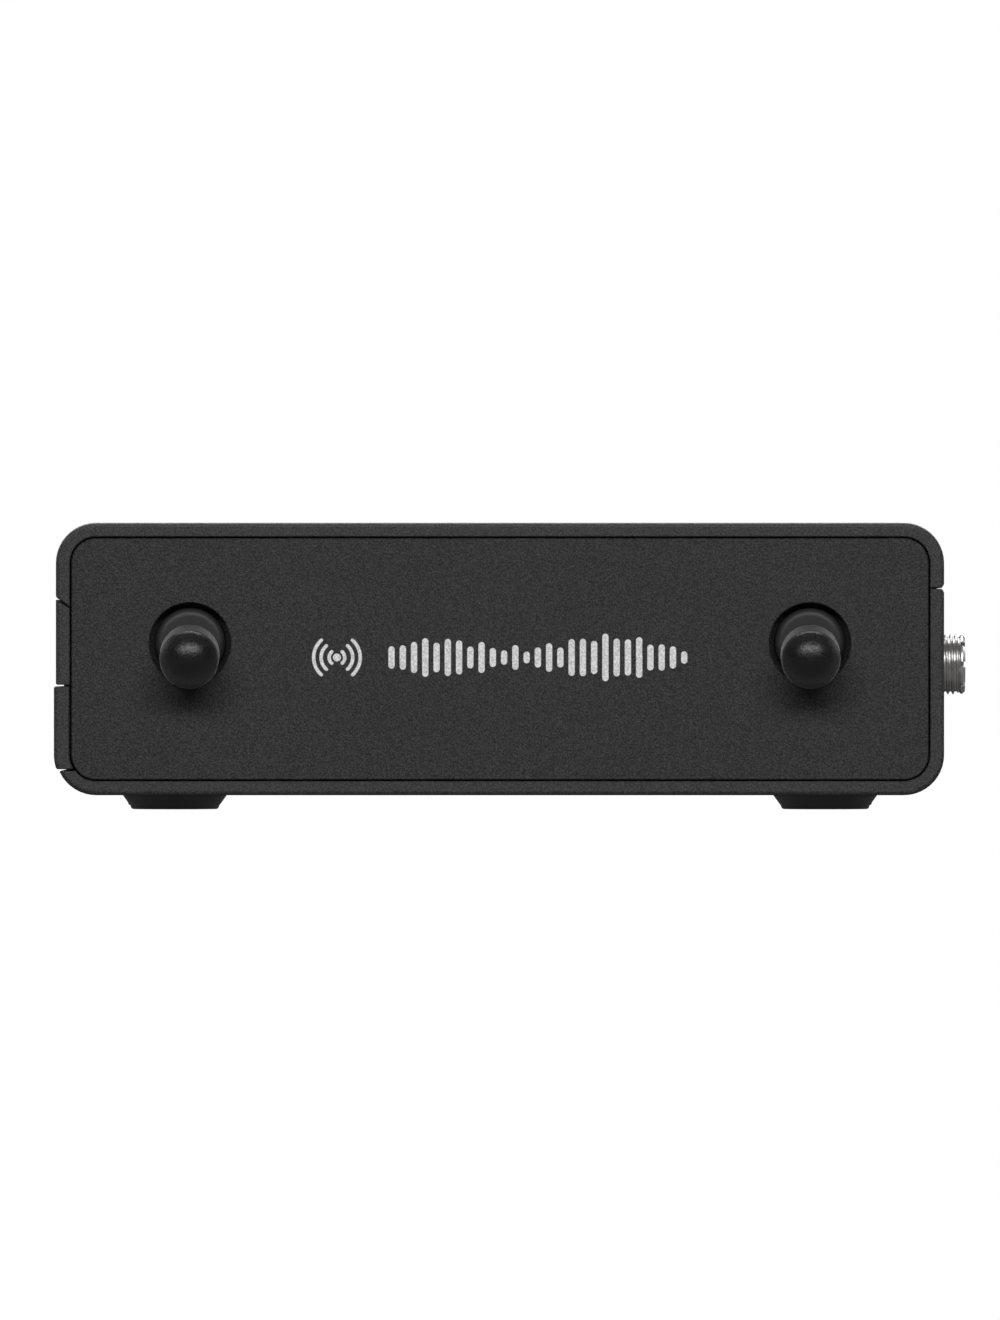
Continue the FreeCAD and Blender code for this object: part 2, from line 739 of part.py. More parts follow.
def build_control_end_panel():
    body = new_body("control_end_panel")
    half_wide = window_wide / 2
    half_high = window_high / 2
    pad(body, "plate", "y", control_rear, back, lambda s: draw_round_box(
        s, -panel_half, panel_half, panel_low, panel_high, panel_r))

    def window(sketch, inset):
        draw_round_box(sketch, window_x - half_wide + inset, window_x + half_wide - inset,
                       window_z - half_high + inset, window_z + half_high - inset, as_size(1.0))
    pocket(body, "window_seat", "y", back - 1.0, back, lambda s: window(s, zero))
    pocket(body, "window_opening", "y", control_rear, back - 1.0, lambda s: window(
        s, as_size(1.5)))

    def buttons(sketch):
        for x, z in button_spots().values():
            draw_circle(sketch, x, z, button_r + button_clear)
    pocket(body, "button_holes", "y", control_rear, back, buttons)

    def pipes(sketch):
        for x in pipe_spots():
            draw_circle(sketch, x, pipe_z, pipe_r + run_clear)
    pocket(body, "light_holes", "y", control_rear, back, pipes)

    def back_rim(edge, middle):
        flat = all(abs(vertex.Y - back.value) < 1e-4 for vertex in edge.Vertexes)
        return flat and abs(skin_distance(middle.x, middle.z)) < 2.0
    dress(body, "PartDesign::Chamfer", "back_rim", small_round, back_rim)
    return body


def button_spots():
    """Name and position of each button on the control panel."""
    columns = [button_column + button_pitch * index for index in range(3)]
    low = button_low
    high = button_low + button_rise
    return {
        "button_up": (columns[0], high), "button_down": (columns[0], low),
        "button_set": (columns[1], high), "button_back": (columns[1], low),
        "button_sync": (columns[2], low), "button_power": (columns[2], high),
    }


def pipe_spots():
    middle = button_column + button_pitch
    return [middle - pipe_pitch, middle, middle + pipe_pitch]


# ---------------------------------------------------------------- battery door and latch

def build_battery_door():
    body = new_body("battery_door")
    top_outer = door_top - half_gap
    top_inner = top_outer - door_slope * wall
    sill = sill_z + half_gap
    mid_x = half - corner
    strip_low = split_z + half_gap
    latch_back = front + latch_length
    pocket_back = latch_back + latch_travel + clear

    def upper_strip(sketch):
        draw_loop(sketch, [(-half, strip_low), (-half, top_outer), (-inner, top_inner),
                           (-inner, strip_low)])
    pad(body, "upper_strip", "y", front, pin_y, upper_strip)
    dress(body, "PartDesign::Chamfer", "strip_corners", seam_corner, seam_lines(
        (-half, strip_low), (-half, top_outer)))

    def full_strip(sketch):
        draw_loop(sketch, [
            (-half, split_z + 1), (-inner, split_z + 1),
            (-inner, corner, (-mid_x, corner, inner_r)), (edge_x_on_arc(inner_r, sill), sill),
            (edge_x_on_arc(corner, sill), sill, (-mid_x, corner, corner)), (-half, corner),
        ])
    pad(body, "lower_strip", "y", pocket_back, pin_y, full_strip)
    pad(body, "inner_web", "x", -inner, -inner + web_thick, lambda s: draw_box(
        s, panel_rear + 0.3, pocket_back + 2, corner, 14))
    knuckle_top = hinge_top - half_gap
    pad(body, "knuckle", "z", sill + 0.05, knuckle_top, lambda s: draw_circle(
        s, -half + knuckle_r, pin_y, knuckle_r))
    pocket(body, "hinge_relief", "z", knuckle_top, door_top + 1, lambda s: draw_box(
        s, -half - 0.5, -inner + 2, pin_y - 2.6, pin_y + 2))
    pocket(body, "pin_bore", "z", 0, height, lambda s: draw_circle(
        s, -half + knuckle_r, pin_y, pin_r + run_clear))

    def slots(sketch):
        for start in lug_stations():
            draw_box(sketch, start - clear, start + hook_wide + latch_travel + clear,
                     hook_low - 0.2, hook_high + 0.2)
    pocket(body, "lug_slots", "x", -inner - 0.5, -inner + web_thick + 0.5, slots)
    dress(body, "PartDesign::Fillet", "front_edge", edge_round, end_edges(front))
    dress(body, "PartDesign::Chamfer", "front_lines", small_round, front_lines(front))
    return body


def lug_stations():
    """Front faces of the two lugs that carry the latch on the door."""
    return [front + hook_y, front + hook_y + lug_gap]


def build_door_latch():
    body = new_body("door_latch")
    high = split_z - half_gap
    sill = sill_z + half_gap
    mid_x = half - corner
    inside = inner + run_clear
    shell_r = corner + proud
    inside_r = inner_r + run_clear

    def strip(sketch):
        draw_loop(sketch, [
            (-half - proud, high), (-inside, high),
            (-inside, corner, (-mid_x, corner, inside_r)),
            (edge_x_on_arc(inside_r, sill), sill),
            (edge_x_on_arc(shell_r, sill), sill, (-mid_x, corner, shell_r)),
            (-half - proud, corner),
        ])
    pad(body, "strip", "y", front, front + latch_length, strip)
    dress(body, "PartDesign::Chamfer", "strip_corners", seam_corner, seam_lines(
        (-half - proud, high), (edge_x_on_arc(shell_r, sill), sill)))
    arm, rear = lug_stations()
    toe = latch_toe_x()
    pad(body, "hook_arm", "y", arm, arm + hook_wide, lambda s: draw_box(
        s, -inside, toe + toe_thick, hook_low, hook_high))
    pad(body, "hook_toe", "y", arm - toe_long, arm, lambda s: draw_box(
        s, toe, toe + toe_thick, hook_low, hook_high))
    web_face = -inner + web_thick
    pad(body, "rear_stem", "y", rear, rear + hook_wide, lambda s: draw_box(
        s, -inside, web_face + 2 * run_clear, hook_low, hook_high))
    pad(body, "rear_head", "y", rear, rear + hook_wide, lambda s: draw_box(
        s, web_face + run_clear, web_face + run_clear + head_thick, hook_low - 1, hook_high + 1))

    def grip(sketch):
        for index in range(grip_count):
            start = front + grip_start + grip_pitch * index
            draw_box(sketch, start, start + grip_wide, 5.5, 9.5)
    pocket(body, "grip_grooves", "x", -half - proud, -half - proud + grip_deep, grip)
    dress(body, "PartDesign::Fillet", "front_edge", edge_round, end_edges(front, proud.value))
    dress(body, "PartDesign::Chamfer", "front_lines", small_round, front_lines(
        front, proud.value))
    return body


def build_door_small_parts():
    rod("door_hinge_pin", "z", -half + knuckle_r, pin_y, pin_r, pin_low, pin_high)
    pad_body = new_body("door_foam_pad")
    pad(pad_body, "foam", "x", -inner, pack_x - 0.1, lambda s: draw_round_box(
        s, as_size(4), as_size(20), as_size(6), as_size(14), as_size(1)))


# ---------------------------------------------------------------- antennas

def along_minus_y(tilt):
    """Placement turn for a part drawn along +Z that should point out of the antenna end."""
    return FreeCAD.Rotation(V(1, 0, 0), 90 + tilt)


def build_collar(name, x):
    """The collar is drawn along +Z with its ball seat at the origin, then turned to face -Y."""
    body = new_body(name)
    seat_r = ball_r + run_clear
    shoulder = collar_r - collar_round
    rim = pivot_in - 0.25
    throat = root(seat_r * seat_r - mouth_r * mouth_r)
    tail = -seat_rear
    revolve(body, "turned", [
        (seat_r, tail), (collar_r, tail),
        (collar_r, rim - collar_round, (shoulder, rim - collar_round, collar_round)),
        (shoulder, rim), (mouth_r, rim),
        (mouth_r, throat, (zero, zero, seat_r)), (seat_r, zero),
    ])
    clip_at = pivot_in - clip_set
    bottom_r = collar_r - clip_deep
    beyond_r = collar_r + 0.5
    revolve(body, "clip_groove", [
        (bottom_r, clip_at - clip_wide), (beyond_r, clip_at - clip_wide),
        (beyond_r, clip_at), (bottom_r, clip_at),
    ], "PartDesign::Groove")
    return place(body, x, front + pivot_in, antenna_z, along_minus_y(0))


def build_clip(name, x):
    body = new_body(name)
    top = pivot_in - clip_set - run_clear
    low = top - clip_thick
    bore = collar_r - clip_deep + close_clear
    rim = boss_r - 0.6
    revolve(body, "ring", [(bore, low), (rim, low), (rim, top), (bore, top)])
    pocket(body, "split", "z", low, top, lambda s: draw_box(
        s, -as_size(0.8), 0.8, 2, boss_r))
    return place(body, x, front + pivot_in, antenna_z, along_minus_y(0))


def build_seat(name, x):
    """The plug behind the ball, hollowed to match it, with a wire hole."""
    body = new_body(name)
    seat_r = ball_r + run_clear
    outer_r = seat_r - close_clear
    face = -as_size(1.2)
    face_r = root(seat_r * seat_r - face * face)
    tail = -seat_rear
    hole = as_size(0.9)
    deep = -root(seat_r * seat_r - hole * hole)
    revolve(body, "plug", [
        (hole, tail), (outer_r, tail), (outer_r, face), (face_r, face, (zero, zero, seat_r)),
        (hole, deep),
    ])
    return place(body, x, front + pivot_in, antenna_z, along_minus_y(0))


def build_stub(name, x):
    """Ball, waisted neck and domed head moulded in one piece, with a tiny flat gate mark."""
    body = new_body(name)
    join = root(ball_r * ball_r - neck_r * neck_r)
    shoulder = as_size(0.35)
    head_end = head_start + head_length
    flare = pivot_in + 0.1
    cavity_r = head_r - 0.75
    round_in = head_r - head_round
    reach = dome_r - head_round
    dome_mid = head_end - root(reach * reach - round_in * round_in)
    meet_r = round_in * dome_r / reach
    meet = dome_mid + (head_end - dome_mid) * dome_r / reach
    gate_r = as_size(0.14)
    gate = dome_mid + root(dome_r * dome_r - gate_r * gate_r)
    revolve(body, "moulding", [
        (zero, -ball_r, (zero, zero, ball_r)), (ball_r, zero, (zero, zero, ball_r)),
        (neck_r, join), (neck_r, flare), (neck_wide, head_start - 0.3),
        (neck_wide + 0.3, head_start),
        (head_r - shoulder, head_start, (head_r - shoulder, head_start + shoulder, shoulder)),
        (head_r, head_start + shoulder), (head_r, head_end, (round_in, head_end, head_round)),
        (meet_r, meet, (zero, dome_mid, dome_r)), (gate_r, gate), (zero, gate),
    ])
    revolve(body, "coil_chamber", [
        (zero, head_start + 0.6), (cavity_r, head_start + 0.6),
        (cavity_r, head_end + 0.8), (zero, head_end + 0.8),
    ], "PartDesign::Groove")
    return place(body, x, front + pivot_in, antenna_z, along_minus_y(droop.value))


coil_turns = 5


def build_coil(name, x):
    """The wound radiator inside the head: a round wire swept along a helix."""
    helix = doc.addObject("Part::Helix", name + "_path")
    coil_r = head_r - 1.24
    height = head_length - 0.53
    helix.Pitch = height.value / coil_turns
    helix.Height = height.value
    helix.Radius = coil_r.value
    helix.setExpression("Pitch", (height / coil_turns).text)
    helix.setExpression("Height", height.text)
    helix.setExpression("Radius", coil_r.text)
    ring = doc.addObject("Part::Circle", name + "_section")
    ring.Radius = 0.2
    ring.Placement = FreeCAD.Placement(V(coil_r.value, 0, 0), FreeCAD.Rotation(V(1, 0, 0), 90))
    ring.setExpression("Placement.Base.x", coil_r.text)
    coil = doc.addObject("Part::Sweep", name)
    coil.Label = name
    coil.Sections = [ring]
    coil.Spine = (helix, [])
    coil.Solid = True
    coil.Frenet = True
    turn = along_minus_y(droop.value)
    start = turn.multVec(V(0, 0, head_start.value + 0.95))
    return place(coil, x + start.x, front + pivot_in + start.y, antenna_z + start.z, turn)


def build_antennas():
    for side, x in (("left", -antenna_x), ("right", antenna_x)):
        build_collar("antenna_collar_" + side, x)
        build_clip("antenna_clip_" + side, x)
        build_seat("antenna_seat_" + side, x)
        build_stub("antenna_stub_" + side, x)
        build_coil("antenna_coil_" + side, x)
    start = front + pivot_in + 3.0
    rise = front + pivot_in + 3.65
    coax = []
    for side, x, inboard in (("left", -antenna_x, 4.0), ("right", antenna_x, -4.0)):
        coax.append(wire_run("coax_" + side, 0.55, [
            (x, start, antenna_z), (x, rise, antenna_z), (x, rise, main_z - 0.8),
            (x + inboard, rise + 4, main_z - 0.8), (x + inboard, rise + 4, main_z),
        ]))
    group("antenna_coax_cables", coax)


# ---------------------------------------------------------------- feet, screws, bracket thread

def build_feet_and_screws():
    feet = []
    flat_r = foot_tip_r - foot_round
    for x, y in foot_spots():
        foot = new_body("foot_%d" % (len(feet) + 1))
        revolve(foot, "moulding", [
            (zero, -foot_high), (flat_r, -foot_high, (flat_r, foot_round - foot_high, foot_round)),
            (foot_tip_r, foot_round - foot_high), (foot_r, -as_size(0.12)),
            (foot_r, foot_sunk), (zero, foot_sunk),
        ])
        feet.append(place(foot, x, y, zero, FreeCAD.Rotation()))
    group("rubber_feet", feet)

    insert = new_body("threaded_insert")
    revolve(insert, "turned", [
        (insert_bore, zero), (insert_r, zero), (insert_r, insert_long),
        (insert_bore, insert_long),
    ])

    screws = []
    for x, y in screw_spots():
        screws.append(screw("housing_screw_%d" % (len(screws) + 1), x, y, screw_seat, screw_tip,
                            screw_r, screw_head_r, screw_head_high, -1))
    group("housing_screws", screws)
    small = []
    for x, y in board_screw_spots():
        small.append(screw("main_board_screw_%d" % (len(small) + 1), x, y, main_z,
                           main_z + board_screw_long, board_screw_r, board_screw_head_r,
                           board_screw_head_high, -1))
    top_face = audio_z + board_thick
    for x, y in audio_board_spots():
        small.append(screw("audio_board_screw_%d" % (len(small) - 3), x, y, top_face,
                           top_face - board_screw_long, board_screw_r, board_screw_head_r,
                           board_screw_head_high, 1))
    group("board_screws", small)


def screw(label, x, y, seat, tip, shank, head, head_high, side):
    """A pan screw on the Z axis: the head sits on the seat, on the side given by +1 or -1."""
    body = new_body(label)
    long = (as_size(tip) - seat) if side < 0 else (as_size(seat) - tip)
    revolve(body, "turned", [
        (zero, -as_size(head_high)), (head, -as_size(head_high)), (head, zero),
        (shank, zero), (shank, long), (zero, long),
    ])
    arm = head * 0.62
    web = as_size(0.2)

    def cross(sketch):
        draw_loop(sketch, [
            (-arm, -web), (-web, -web), (-web, -arm), (web, -arm), (web, -web), (arm, -web),
            (arm, web), (web, web), (web, arm), (-web, arm), (-web, web), (-arm, web),
        ])
    pocket(body, "cross_recess", "z", -as_size(head_high), -as_size(head_high) + 0.6, cross)
    turn = FreeCAD.Rotation() if side < 0 else FreeCAD.Rotation(V(1, 0, 0), 180)
    return place(body, x, y, seat, turn)


# ---------------------------------------------------------------- sockets on the right flank

def build_audio_jack():
    """A threaded sleeve drawn along +Z and turned to point along +X."""
    body = new_body("audio_jack_sleeve")
    tip = half + jack_out - inner
    flange_at = -as_size(0.55)
    tail = tip - plug_deep
    flange_r = as_size(3.7)
    valley = thread_r - thread_deep
    revolve(body, "turned", [
        (plug_r + 0.35, tip), (plug_r, tip - 0.35), (plug_r, tail), (sleeve_r, tail),
        (sleeve_r, flange_at - 1.2), (flange_r, flange_at - 1.2), (flange_r, flange_at),
        (valley, flange_at), (valley, tip - 0.6), (thread_r - 0.05, tip - 0.4),
        (thread_r - 0.05, tip - 0.25), (thread_r - 0.3, tip),
    ])

    slot = new_sketch(body, "notch_outline", "z", tip)
    draw_box(slot, plug_r + 0.2, thread_r + 0.5, -as_size(0.275), 0.275)
    notch = body.newObject("PartDesign::Pocket", "notch")
    notch.Profile = slot
    notch.Length = 0.45
    finish_feature(body, notch, False)
    ring = body.newObject("PartDesign::PolarPattern", "notches")
    ring.Originals = [notch]
    ring.Axis = (origin_piece(body, "Z_Axis"), [""])
    ring.Angle = full_turn
    ring.Occurrences = 8
    body.Tip = ring
    finish_feature(body, ring, False)
    place(body, inner, jack_y, jack_z, TURNS["x"])
    ridge = jack_thread("audio_jack_thread", flange_at + 0.3, tip - 0.7)
    barrel = fuse("audio_jack_barrel", [body, ridge])
    barrel.Refine = False

    washer = new_body("audio_jack_washer")
    revolve(washer, "ring", [(thread_r + 0.1, -as_size(0.5)), (as_size(4.4), -as_size(0.5)),
                             (as_size(4.4), zero), (thread_r + 0.1, zero)])
    place(washer, inner, jack_y, jack_z, TURNS["x"])
    jack_housing("audio_jack_body", jack_y)


def jack_thread(label, low, high):
    """The locking thread: a ridge with sloping flanks wound round the sleeve."""
    valley = thread_r - thread_deep
    path = doc.addObject("Part::Helix", label + "_path")
    for key, size in (("Pitch", thread_pitch), ("Height", high - low), ("Radius", valley)):
        setattr(path, key, size.value)
        path.setExpression(key, size.text)
    section = doc.addObject("Sketcher::SketchObject", label + "_section")
    section.Placement = FreeCAD.Placement(V(), FreeCAD.Rotation(V(1, 0, 0), 90))
    foot = thread_pitch * 0.46
    crest = thread_pitch * 0.06
    buried = valley - 0.08
    draw_loop(section, [(buried, -foot), (thread_r, -crest), (thread_r, crest), (buried, foot)])
    ridge = doc.addObject("Part::Sweep", label)
    ridge.Label = label
    ridge.Sections = [section]
    ridge.Spine = (path, [])
    ridge.Solid = True
    ridge.Frenet = True
    lead_in = FreeCAD.Rotation(V(0, 0, 1), 90)
    return place(ridge, inner + low, jack_y, jack_z, TURNS["x"].multiply(lead_in))


def jack_housing(name, station):
    """The moulded body round a socket sleeve, standing on the audio board."""
    low = audio_z + board_thick
    face = inner - socket_low
    rear = half + jack_out - plug_deep - 1.5
    shell = block(name + "_block", (rear, face), (station - 4.4, station + 4.4),
                  (low, jack_z + 3.9))
    hole = rod(name + "_hole", "x", station, jack_z, sleeve_r + pin_clear, rear + 1.5, face + 1)
    return cut(name, shell, [hole])


def build_headphone_jack():
    body = new_body("headphone_jack_ring")
    tip = wall + 0.1
    tail = half + jack_out - plug_deep - inner
    revolve(body, "turned", [
        (plug_r + 0.3, tip), (plug_r, tip - 0.3), (plug_r, tail), (sleeve_r, tail),
        (sleeve_r, -as_size(1.7)), (as_size(3.6), -as_size(1.7)), (as_size(3.6), -as_size(0.1)),
        (phones_r, -as_size(0.1)), (phones_r, tip - 0.15), (phones_r - 0.15, tip),
    ])
    place(body, inner, phones_y, jack_z, TURNS["x"])
    jack_housing("headphone_jack_body", phones_y)


def build_usb_port():
    usb_z = audio_z + board_thick + usb_high / 2
    rear = inner - usb_deep
    tip = half - 0.15
    body = new_body("usb_c_shell")

    def stadium(sketch, inset):
        draw_round_box(sketch, usb_y - usb_wide / 2 + inset, usb_y + usb_wide / 2 - inset,
                       usb_z - usb_high / 2 + inset, usb_z + usb_high / 2 - inset,
                       usb_high / 2 - inset - 0.02)
    pad(body, "shell", "x", rear, tip, lambda s: stadium(s, zero))
    pocket(body, "mouth", "x", rear + usb_base, tip, lambda s: stadium(s, as_size(0.3)))
    tongue = new_body("usb_c_tongue")
    pad(tongue, "tongue", "x", rear + usb_base, tip - 0.7, lambda s: draw_round_box(
        s, usb_y - 3.34, usb_y + 3.34, usb_z - 0.35, usb_z + 0.35, as_size(0.2)))
    pad(tongue, "root", "x", rear + usb_base, rear + 2.4, lambda s: draw_round_box(
        s, usb_y - 3.8, usb_y + 3.8, usb_z - 1.0, usb_z + 1.0, as_size(0.6)))


# ---------------------------------------------------------------- battery and bay

def build_battery():
    right = pack_x + pack_wide
    rear = pack_y + pack_long
    top = pack_z + pack_high
    slack = as_size(0.3)
    bay = new_body("battery_bay")
    pad(bay, "shell", "x", pack_x, right + 2.2, lambda s: draw_round_box(
        s, pack_y - slack - liner, rear + slack + liner,
        pack_z - slack - liner, top + slack + liner, as_size(1.2)))
    pocket(bay, "hollow", "x", pack_x, right + 1.3, lambda s: draw_round_box(
        s, pack_y - slack, rear + slack, pack_z - slack, top + slack, as_size(0.5)))

    def vents(sketch):
        for index in range(4):
            start = pack_y + 5 + 9 * index
            draw_box(sketch, -35, -18, start, start + 6)
    pocket(bay, "roof_openings", "z", top + slack, top + slack + liner, vents)

    pack = new_body("battery_pack")
    pad(pack, "case", "x", pack_x, right, lambda s: draw_round_box(
        s, pack_y, rear, pack_z, top, as_size(2.2)))

    def ends(edge, middle):
        level = [vertex.X for vertex in edge.Vertexes]
        return (max(level) - min(level)) < 1e-4
    dress(pack, "PartDesign::Fillet", "case_rounding", 0.6, ends)

    def terminals(sketch):
        for y in contact_spots():
            draw_box(sketch, y - 1.8, y + 1.8, pack_z + 3.4, pack_z + 11.2)
    pocket(pack, "terminal_recesses", "x", right - 0.4, right, terminals)

    leaves = []
    for y in contact_spots():
        leaf = new_body("contact_%d" % (len(leaves) + 1))
        wall_face = right + 1.3
        low = pack_z + 4.2

        def strip(sketch):
            draw_loop(sketch, [
                (wall_face, low), (wall_face - 0.2, low), (wall_face - 1.5, low + 3.4),
                (wall_face - 0.3, low + 6), (wall_face, low + 6), (wall_face, low + 5.8),
                (wall_face - 0.25, low + 5.8), (wall_face - 1.25, low + 3.4),
                (wall_face, low + 0.2),
            ])
        pad(leaf, "leaf", "y", y - 1.2, y + 1.2, strip)
        leaves.append(leaf)
    group("battery_contacts", leaves)

    tab = new_body("battery_pull_tab")

    def ribbon(sketch):
        low = pack_z - 0.26
        outer_x = pack_x - 0.32
        draw_loop(sketch, [
            (pack_x + 16, low), (pack_x + 16, low + 0.22), (outer_x + 0.22, low + 0.22),
            (outer_x + 0.22, low + 7), (outer_x, low + 7), (outer_x, low),
        ])
    pad(tab, "ribbon", "y", -as_size(6), 1, ribbon)

    wires = []
    start_x = right + 2.2
    for index, y in enumerate(contact_spots()):
        wires.append(wire_run("battery_lead_%d" % (index + 1), 0.45, [
            (start_x, y, 10.5), (start_x + 1.2, y, 10.5), (start_x + 4, y + 6, 10.5),
            (11.5, y + 6, audio_z + board_thick + 0.45),
        ]))
    group("battery_leads", wires)


def contact_spots():
    return [8.0, 13.0, 18.0]


# ---------------------------------------------------------------- boards and shields

def build_boards():
    main = new_body("main_board")
    pad(main, "laminate", "z", main_z, main_z + board_thick, lambda s: draw_round_box(
        s, -as_size(40), as_size(40), -as_size(22.4), as_size(24.2), as_size(1.5)))
    pocket(main, "screw_holes", "z", main_z, main_z + board_thick, lambda s: [
        draw_circle(s, x, y, board_hole_r) for x, y in board_screw_spots()])

    top = main_z + board_thick
    chips = []
    for x, y, wide, long, high in ((14, -10, 9, 9, 0.9), (28, -11, 6, 5, 1.1), (13, 4, 5, 7, 1.0),
                                   (26, 3, 8, 8, 0.9), (20, 15, 4, 3, 1.4), (29, 14, 5, 3, 1.2)):
        chips.append(block("chip_%d" % (len(chips) + 1), (x - wide / 2, x + wide / 2),
                           (y - long / 2, y + long / 2), (top, top + high)))
    group("main_board_chips", chips)

    frame = new_body("rf_shield_frame")
    sides = (-as_size(28), as_size(4), -as_size(17), as_size(17))

    def ring(sketch, inset):
        draw_round_box(sketch, sides[0] + inset, sides[1] - inset, sides[2] + inset,
                       sides[3] - inset, 1.2 - as_size(inset))
    pad(frame, "walls", "z", top, top + 2.6, lambda s: ring(s, 0.0))
    pocket(frame, "opening", "z", top, top + 2.6, lambda s: ring(s, 0.3))
    pad(frame, "divider", "z", top, top + 2.6, lambda s: draw_box(
        s, sides[0] + 0.2, sides[1] - 0.2, -as_size(0.15), 0.15))
    lid = new_body("rf_shield_lid")
    pad(lid, "cover", "z", top + 0.5, top + 2.9, lambda s: ring(s, -0.32))
    pocket(lid, "inside", "z", top + 0.5, top + 2.62, lambda s: ring(s, -0.06))

    audio = new_body("audio_board")
    pad(audio, "laminate", "z", audio_z, audio_z + board_thick, lambda s: draw_round_box(
        s, as_size(10.5), as_size(41.6), -as_size(23.4), as_size(24), as_size(1)))
    pocket(audio, "screw_holes", "z", audio_z, audio_z + board_thick, lambda s: [
        draw_circle(s, x, y, board_hole_r) for x, y in audio_board_spots()])

    block("board_link_header", (20, 24), (-as_size(12), 6), (audio_z + board_thick, main_z))


# ---------------------------------------------------------------- display and buttons

def build_controls():
    board_front = ui_y + board_thick
    ui = new_body("ui_board")
    pad(ui, "laminate", "y", ui_y, board_front, lambda s: draw_round_box(
        s, -as_size(34.5), as_size(35.2), as_size(2.8), as_size(24.4), as_size(0.8)))

    left = window_x - window_wide / 2
    right = window_x + window_wide / 2
    low = window_z - window_high / 2
    high = window_z + window_high / 2
    holder = new_body("display_holder")
    pad(holder, "frame", "y", board_front, switch_front, lambda s: draw_round_box(
        s, left - 0.8, right + 0.8, low - 0.8, high + 0.8, as_size(0.8)))
    pocket(holder, "opening", "y", board_front, switch_front, lambda s: draw_round_box(
        s, left + 1.4, right - 1.4, low + 1.4, high - 1.4, as_size(0.5)))
    module = new_body("display_module")
    pad(module, "glass", "y", switch_front, control_rear - run_clear, lambda s: draw_round_box(
        s, left - 0.4, right + 0.4, low - 0.4, high + 0.4, as_size(0.5)))
    window = new_body("display_window")
    pad(window, "lens", "y", back - 0.98, back - 0.03, lambda s: draw_round_box(
        s, left + 0.06, right - 0.06, low + 0.06, high - 0.06, as_size(0.94)))

    ribbon = new_body("display_ribbon")

    def strip(sketch):
        face = ui_y
        draw_loop(sketch, [
            (face, 14), (face, 19.2), (face - 0.3, 20.0), (face - 2.6, 20.4),
            (face - 2.6, main_z), (face - 4.2, main_z), (face - 4.2, main_z - 0.35),
            (face - 2.9, main_z - 0.35), (face - 0.45, 19.75), (face - 0.2, 19.1),
            (face - 0.2, 14),
        ])
    pad(ribbon, "strip", "x", -as_size(16), -4, strip)

    switches = []
    for name, (x, z) in button_spots().items():
        case = block(name + "_switch_case", (x - switch_half, x + switch_half),
                     (board_front, switch_front), (z - switch_half, z + switch_half))
        well = rod(name + "_switch_well", "y", x, z, 1.15, switch_front - 1, switch_front + 0.8)
        switches.append(cut(name + "_switch", case, [well]))
        build_button(name, x, z)
    group("tact_switches", switches)

    pipes = [rod("pipe_%d" % index, "y", x, pipe_z, pipe_r, board_front, back)
             for index, x in enumerate(pipe_spots())]
    group("status_light_pipes", pipes)


def build_button(name, x, z):
    """Cap, flange and stem drawn along +Z from the panel's rear face, then turned to face +Y."""
    body = new_body(name)
    top = panel_thick + button_proud
    dome = as_size(0.3)
    revolve(body, "turned", [
        (zero, -as_size(1.75)), (as_size(1.0), -as_size(1.75)), (as_size(1.0), -as_size(0.85)),
        (as_size(3.15), -as_size(0.85)), (as_size(3.15), -as_size(0.05)),
        (button_r, -as_size(0.05)), (button_r, top - dome, (button_r - dome, top - dome, dome)),
        (button_r - dome, top), (zero, top),
    ])
    return place(body, x, control_rear, z, TURNS["y"])


# ---------------------------------------------------------------- build and write

build_top_shell()
build_bottom_shell()
build_antenna_end_panel()
build_control_end_panel()
build_battery_door()
build_door_latch()
build_door_small_parts()
build_antennas()
build_feet_and_screws()
build_audio_jack()
build_headphone_jack()
build_usb_port()
build_battery()
build_boards()
build_controls()

NODES = [
    "top_shell", "bottom_shell", "antenna_end_panel", "control_end_panel", "battery_door",
    "door_latch", "door_hinge_pin", "door_foam_pad",
    "antenna_collar_left", "antenna_collar_right", "antenna_clip_left", "antenna_clip_right",
    "antenna_seat_left", "antenna_seat_right", "antenna_stub_left", "antenna_stub_right",
    "antenna_coil_left", "antenna_coil_right", "antenna_coax_cables",
    "rubber_feet", "threaded_insert", "housing_screws", "board_screws",
    "audio_jack_barrel", "audio_jack_washer", "audio_jack_body",
    "headphone_jack_ring", "headphone_jack_body", "usb_c_shell", "usb_c_tongue",
    "battery_bay", "battery_pack", "battery_contacts", "battery_pull_tab", "battery_leads",
    "main_board", "main_board_chips", "rf_shield_frame", "rf_shield_lid", "audio_board",
    "board_link_header", "ui_board", "display_holder", "display_module", "display_window",
    "display_ribbon", "tact_switches", "status_light_pipes",
    "button_up", "button_down", "button_set", "button_back", "button_sync", "button_power",
]

doc.recompute()
for thing in doc.Objects:
    if "Invalid" in thing.State or "Error" in thing.State:
        raise RuntimeError("%s did not build: %s" % (thing.Label, thing.State))

os.makedirs("parts", exist_ok=True)
for node in NODES:
    shape = doc.getObjectsByLabel(node)[0].Shape
    if shape.isNull() or not shape.isValid() or not shape.Solids:
        raise RuntimeError("%s has no valid solid" % node)
    shape.exportStep("parts/%s.step" % node)
print("wrote %d parts" % len(NODES))
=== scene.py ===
import json
import math
import random

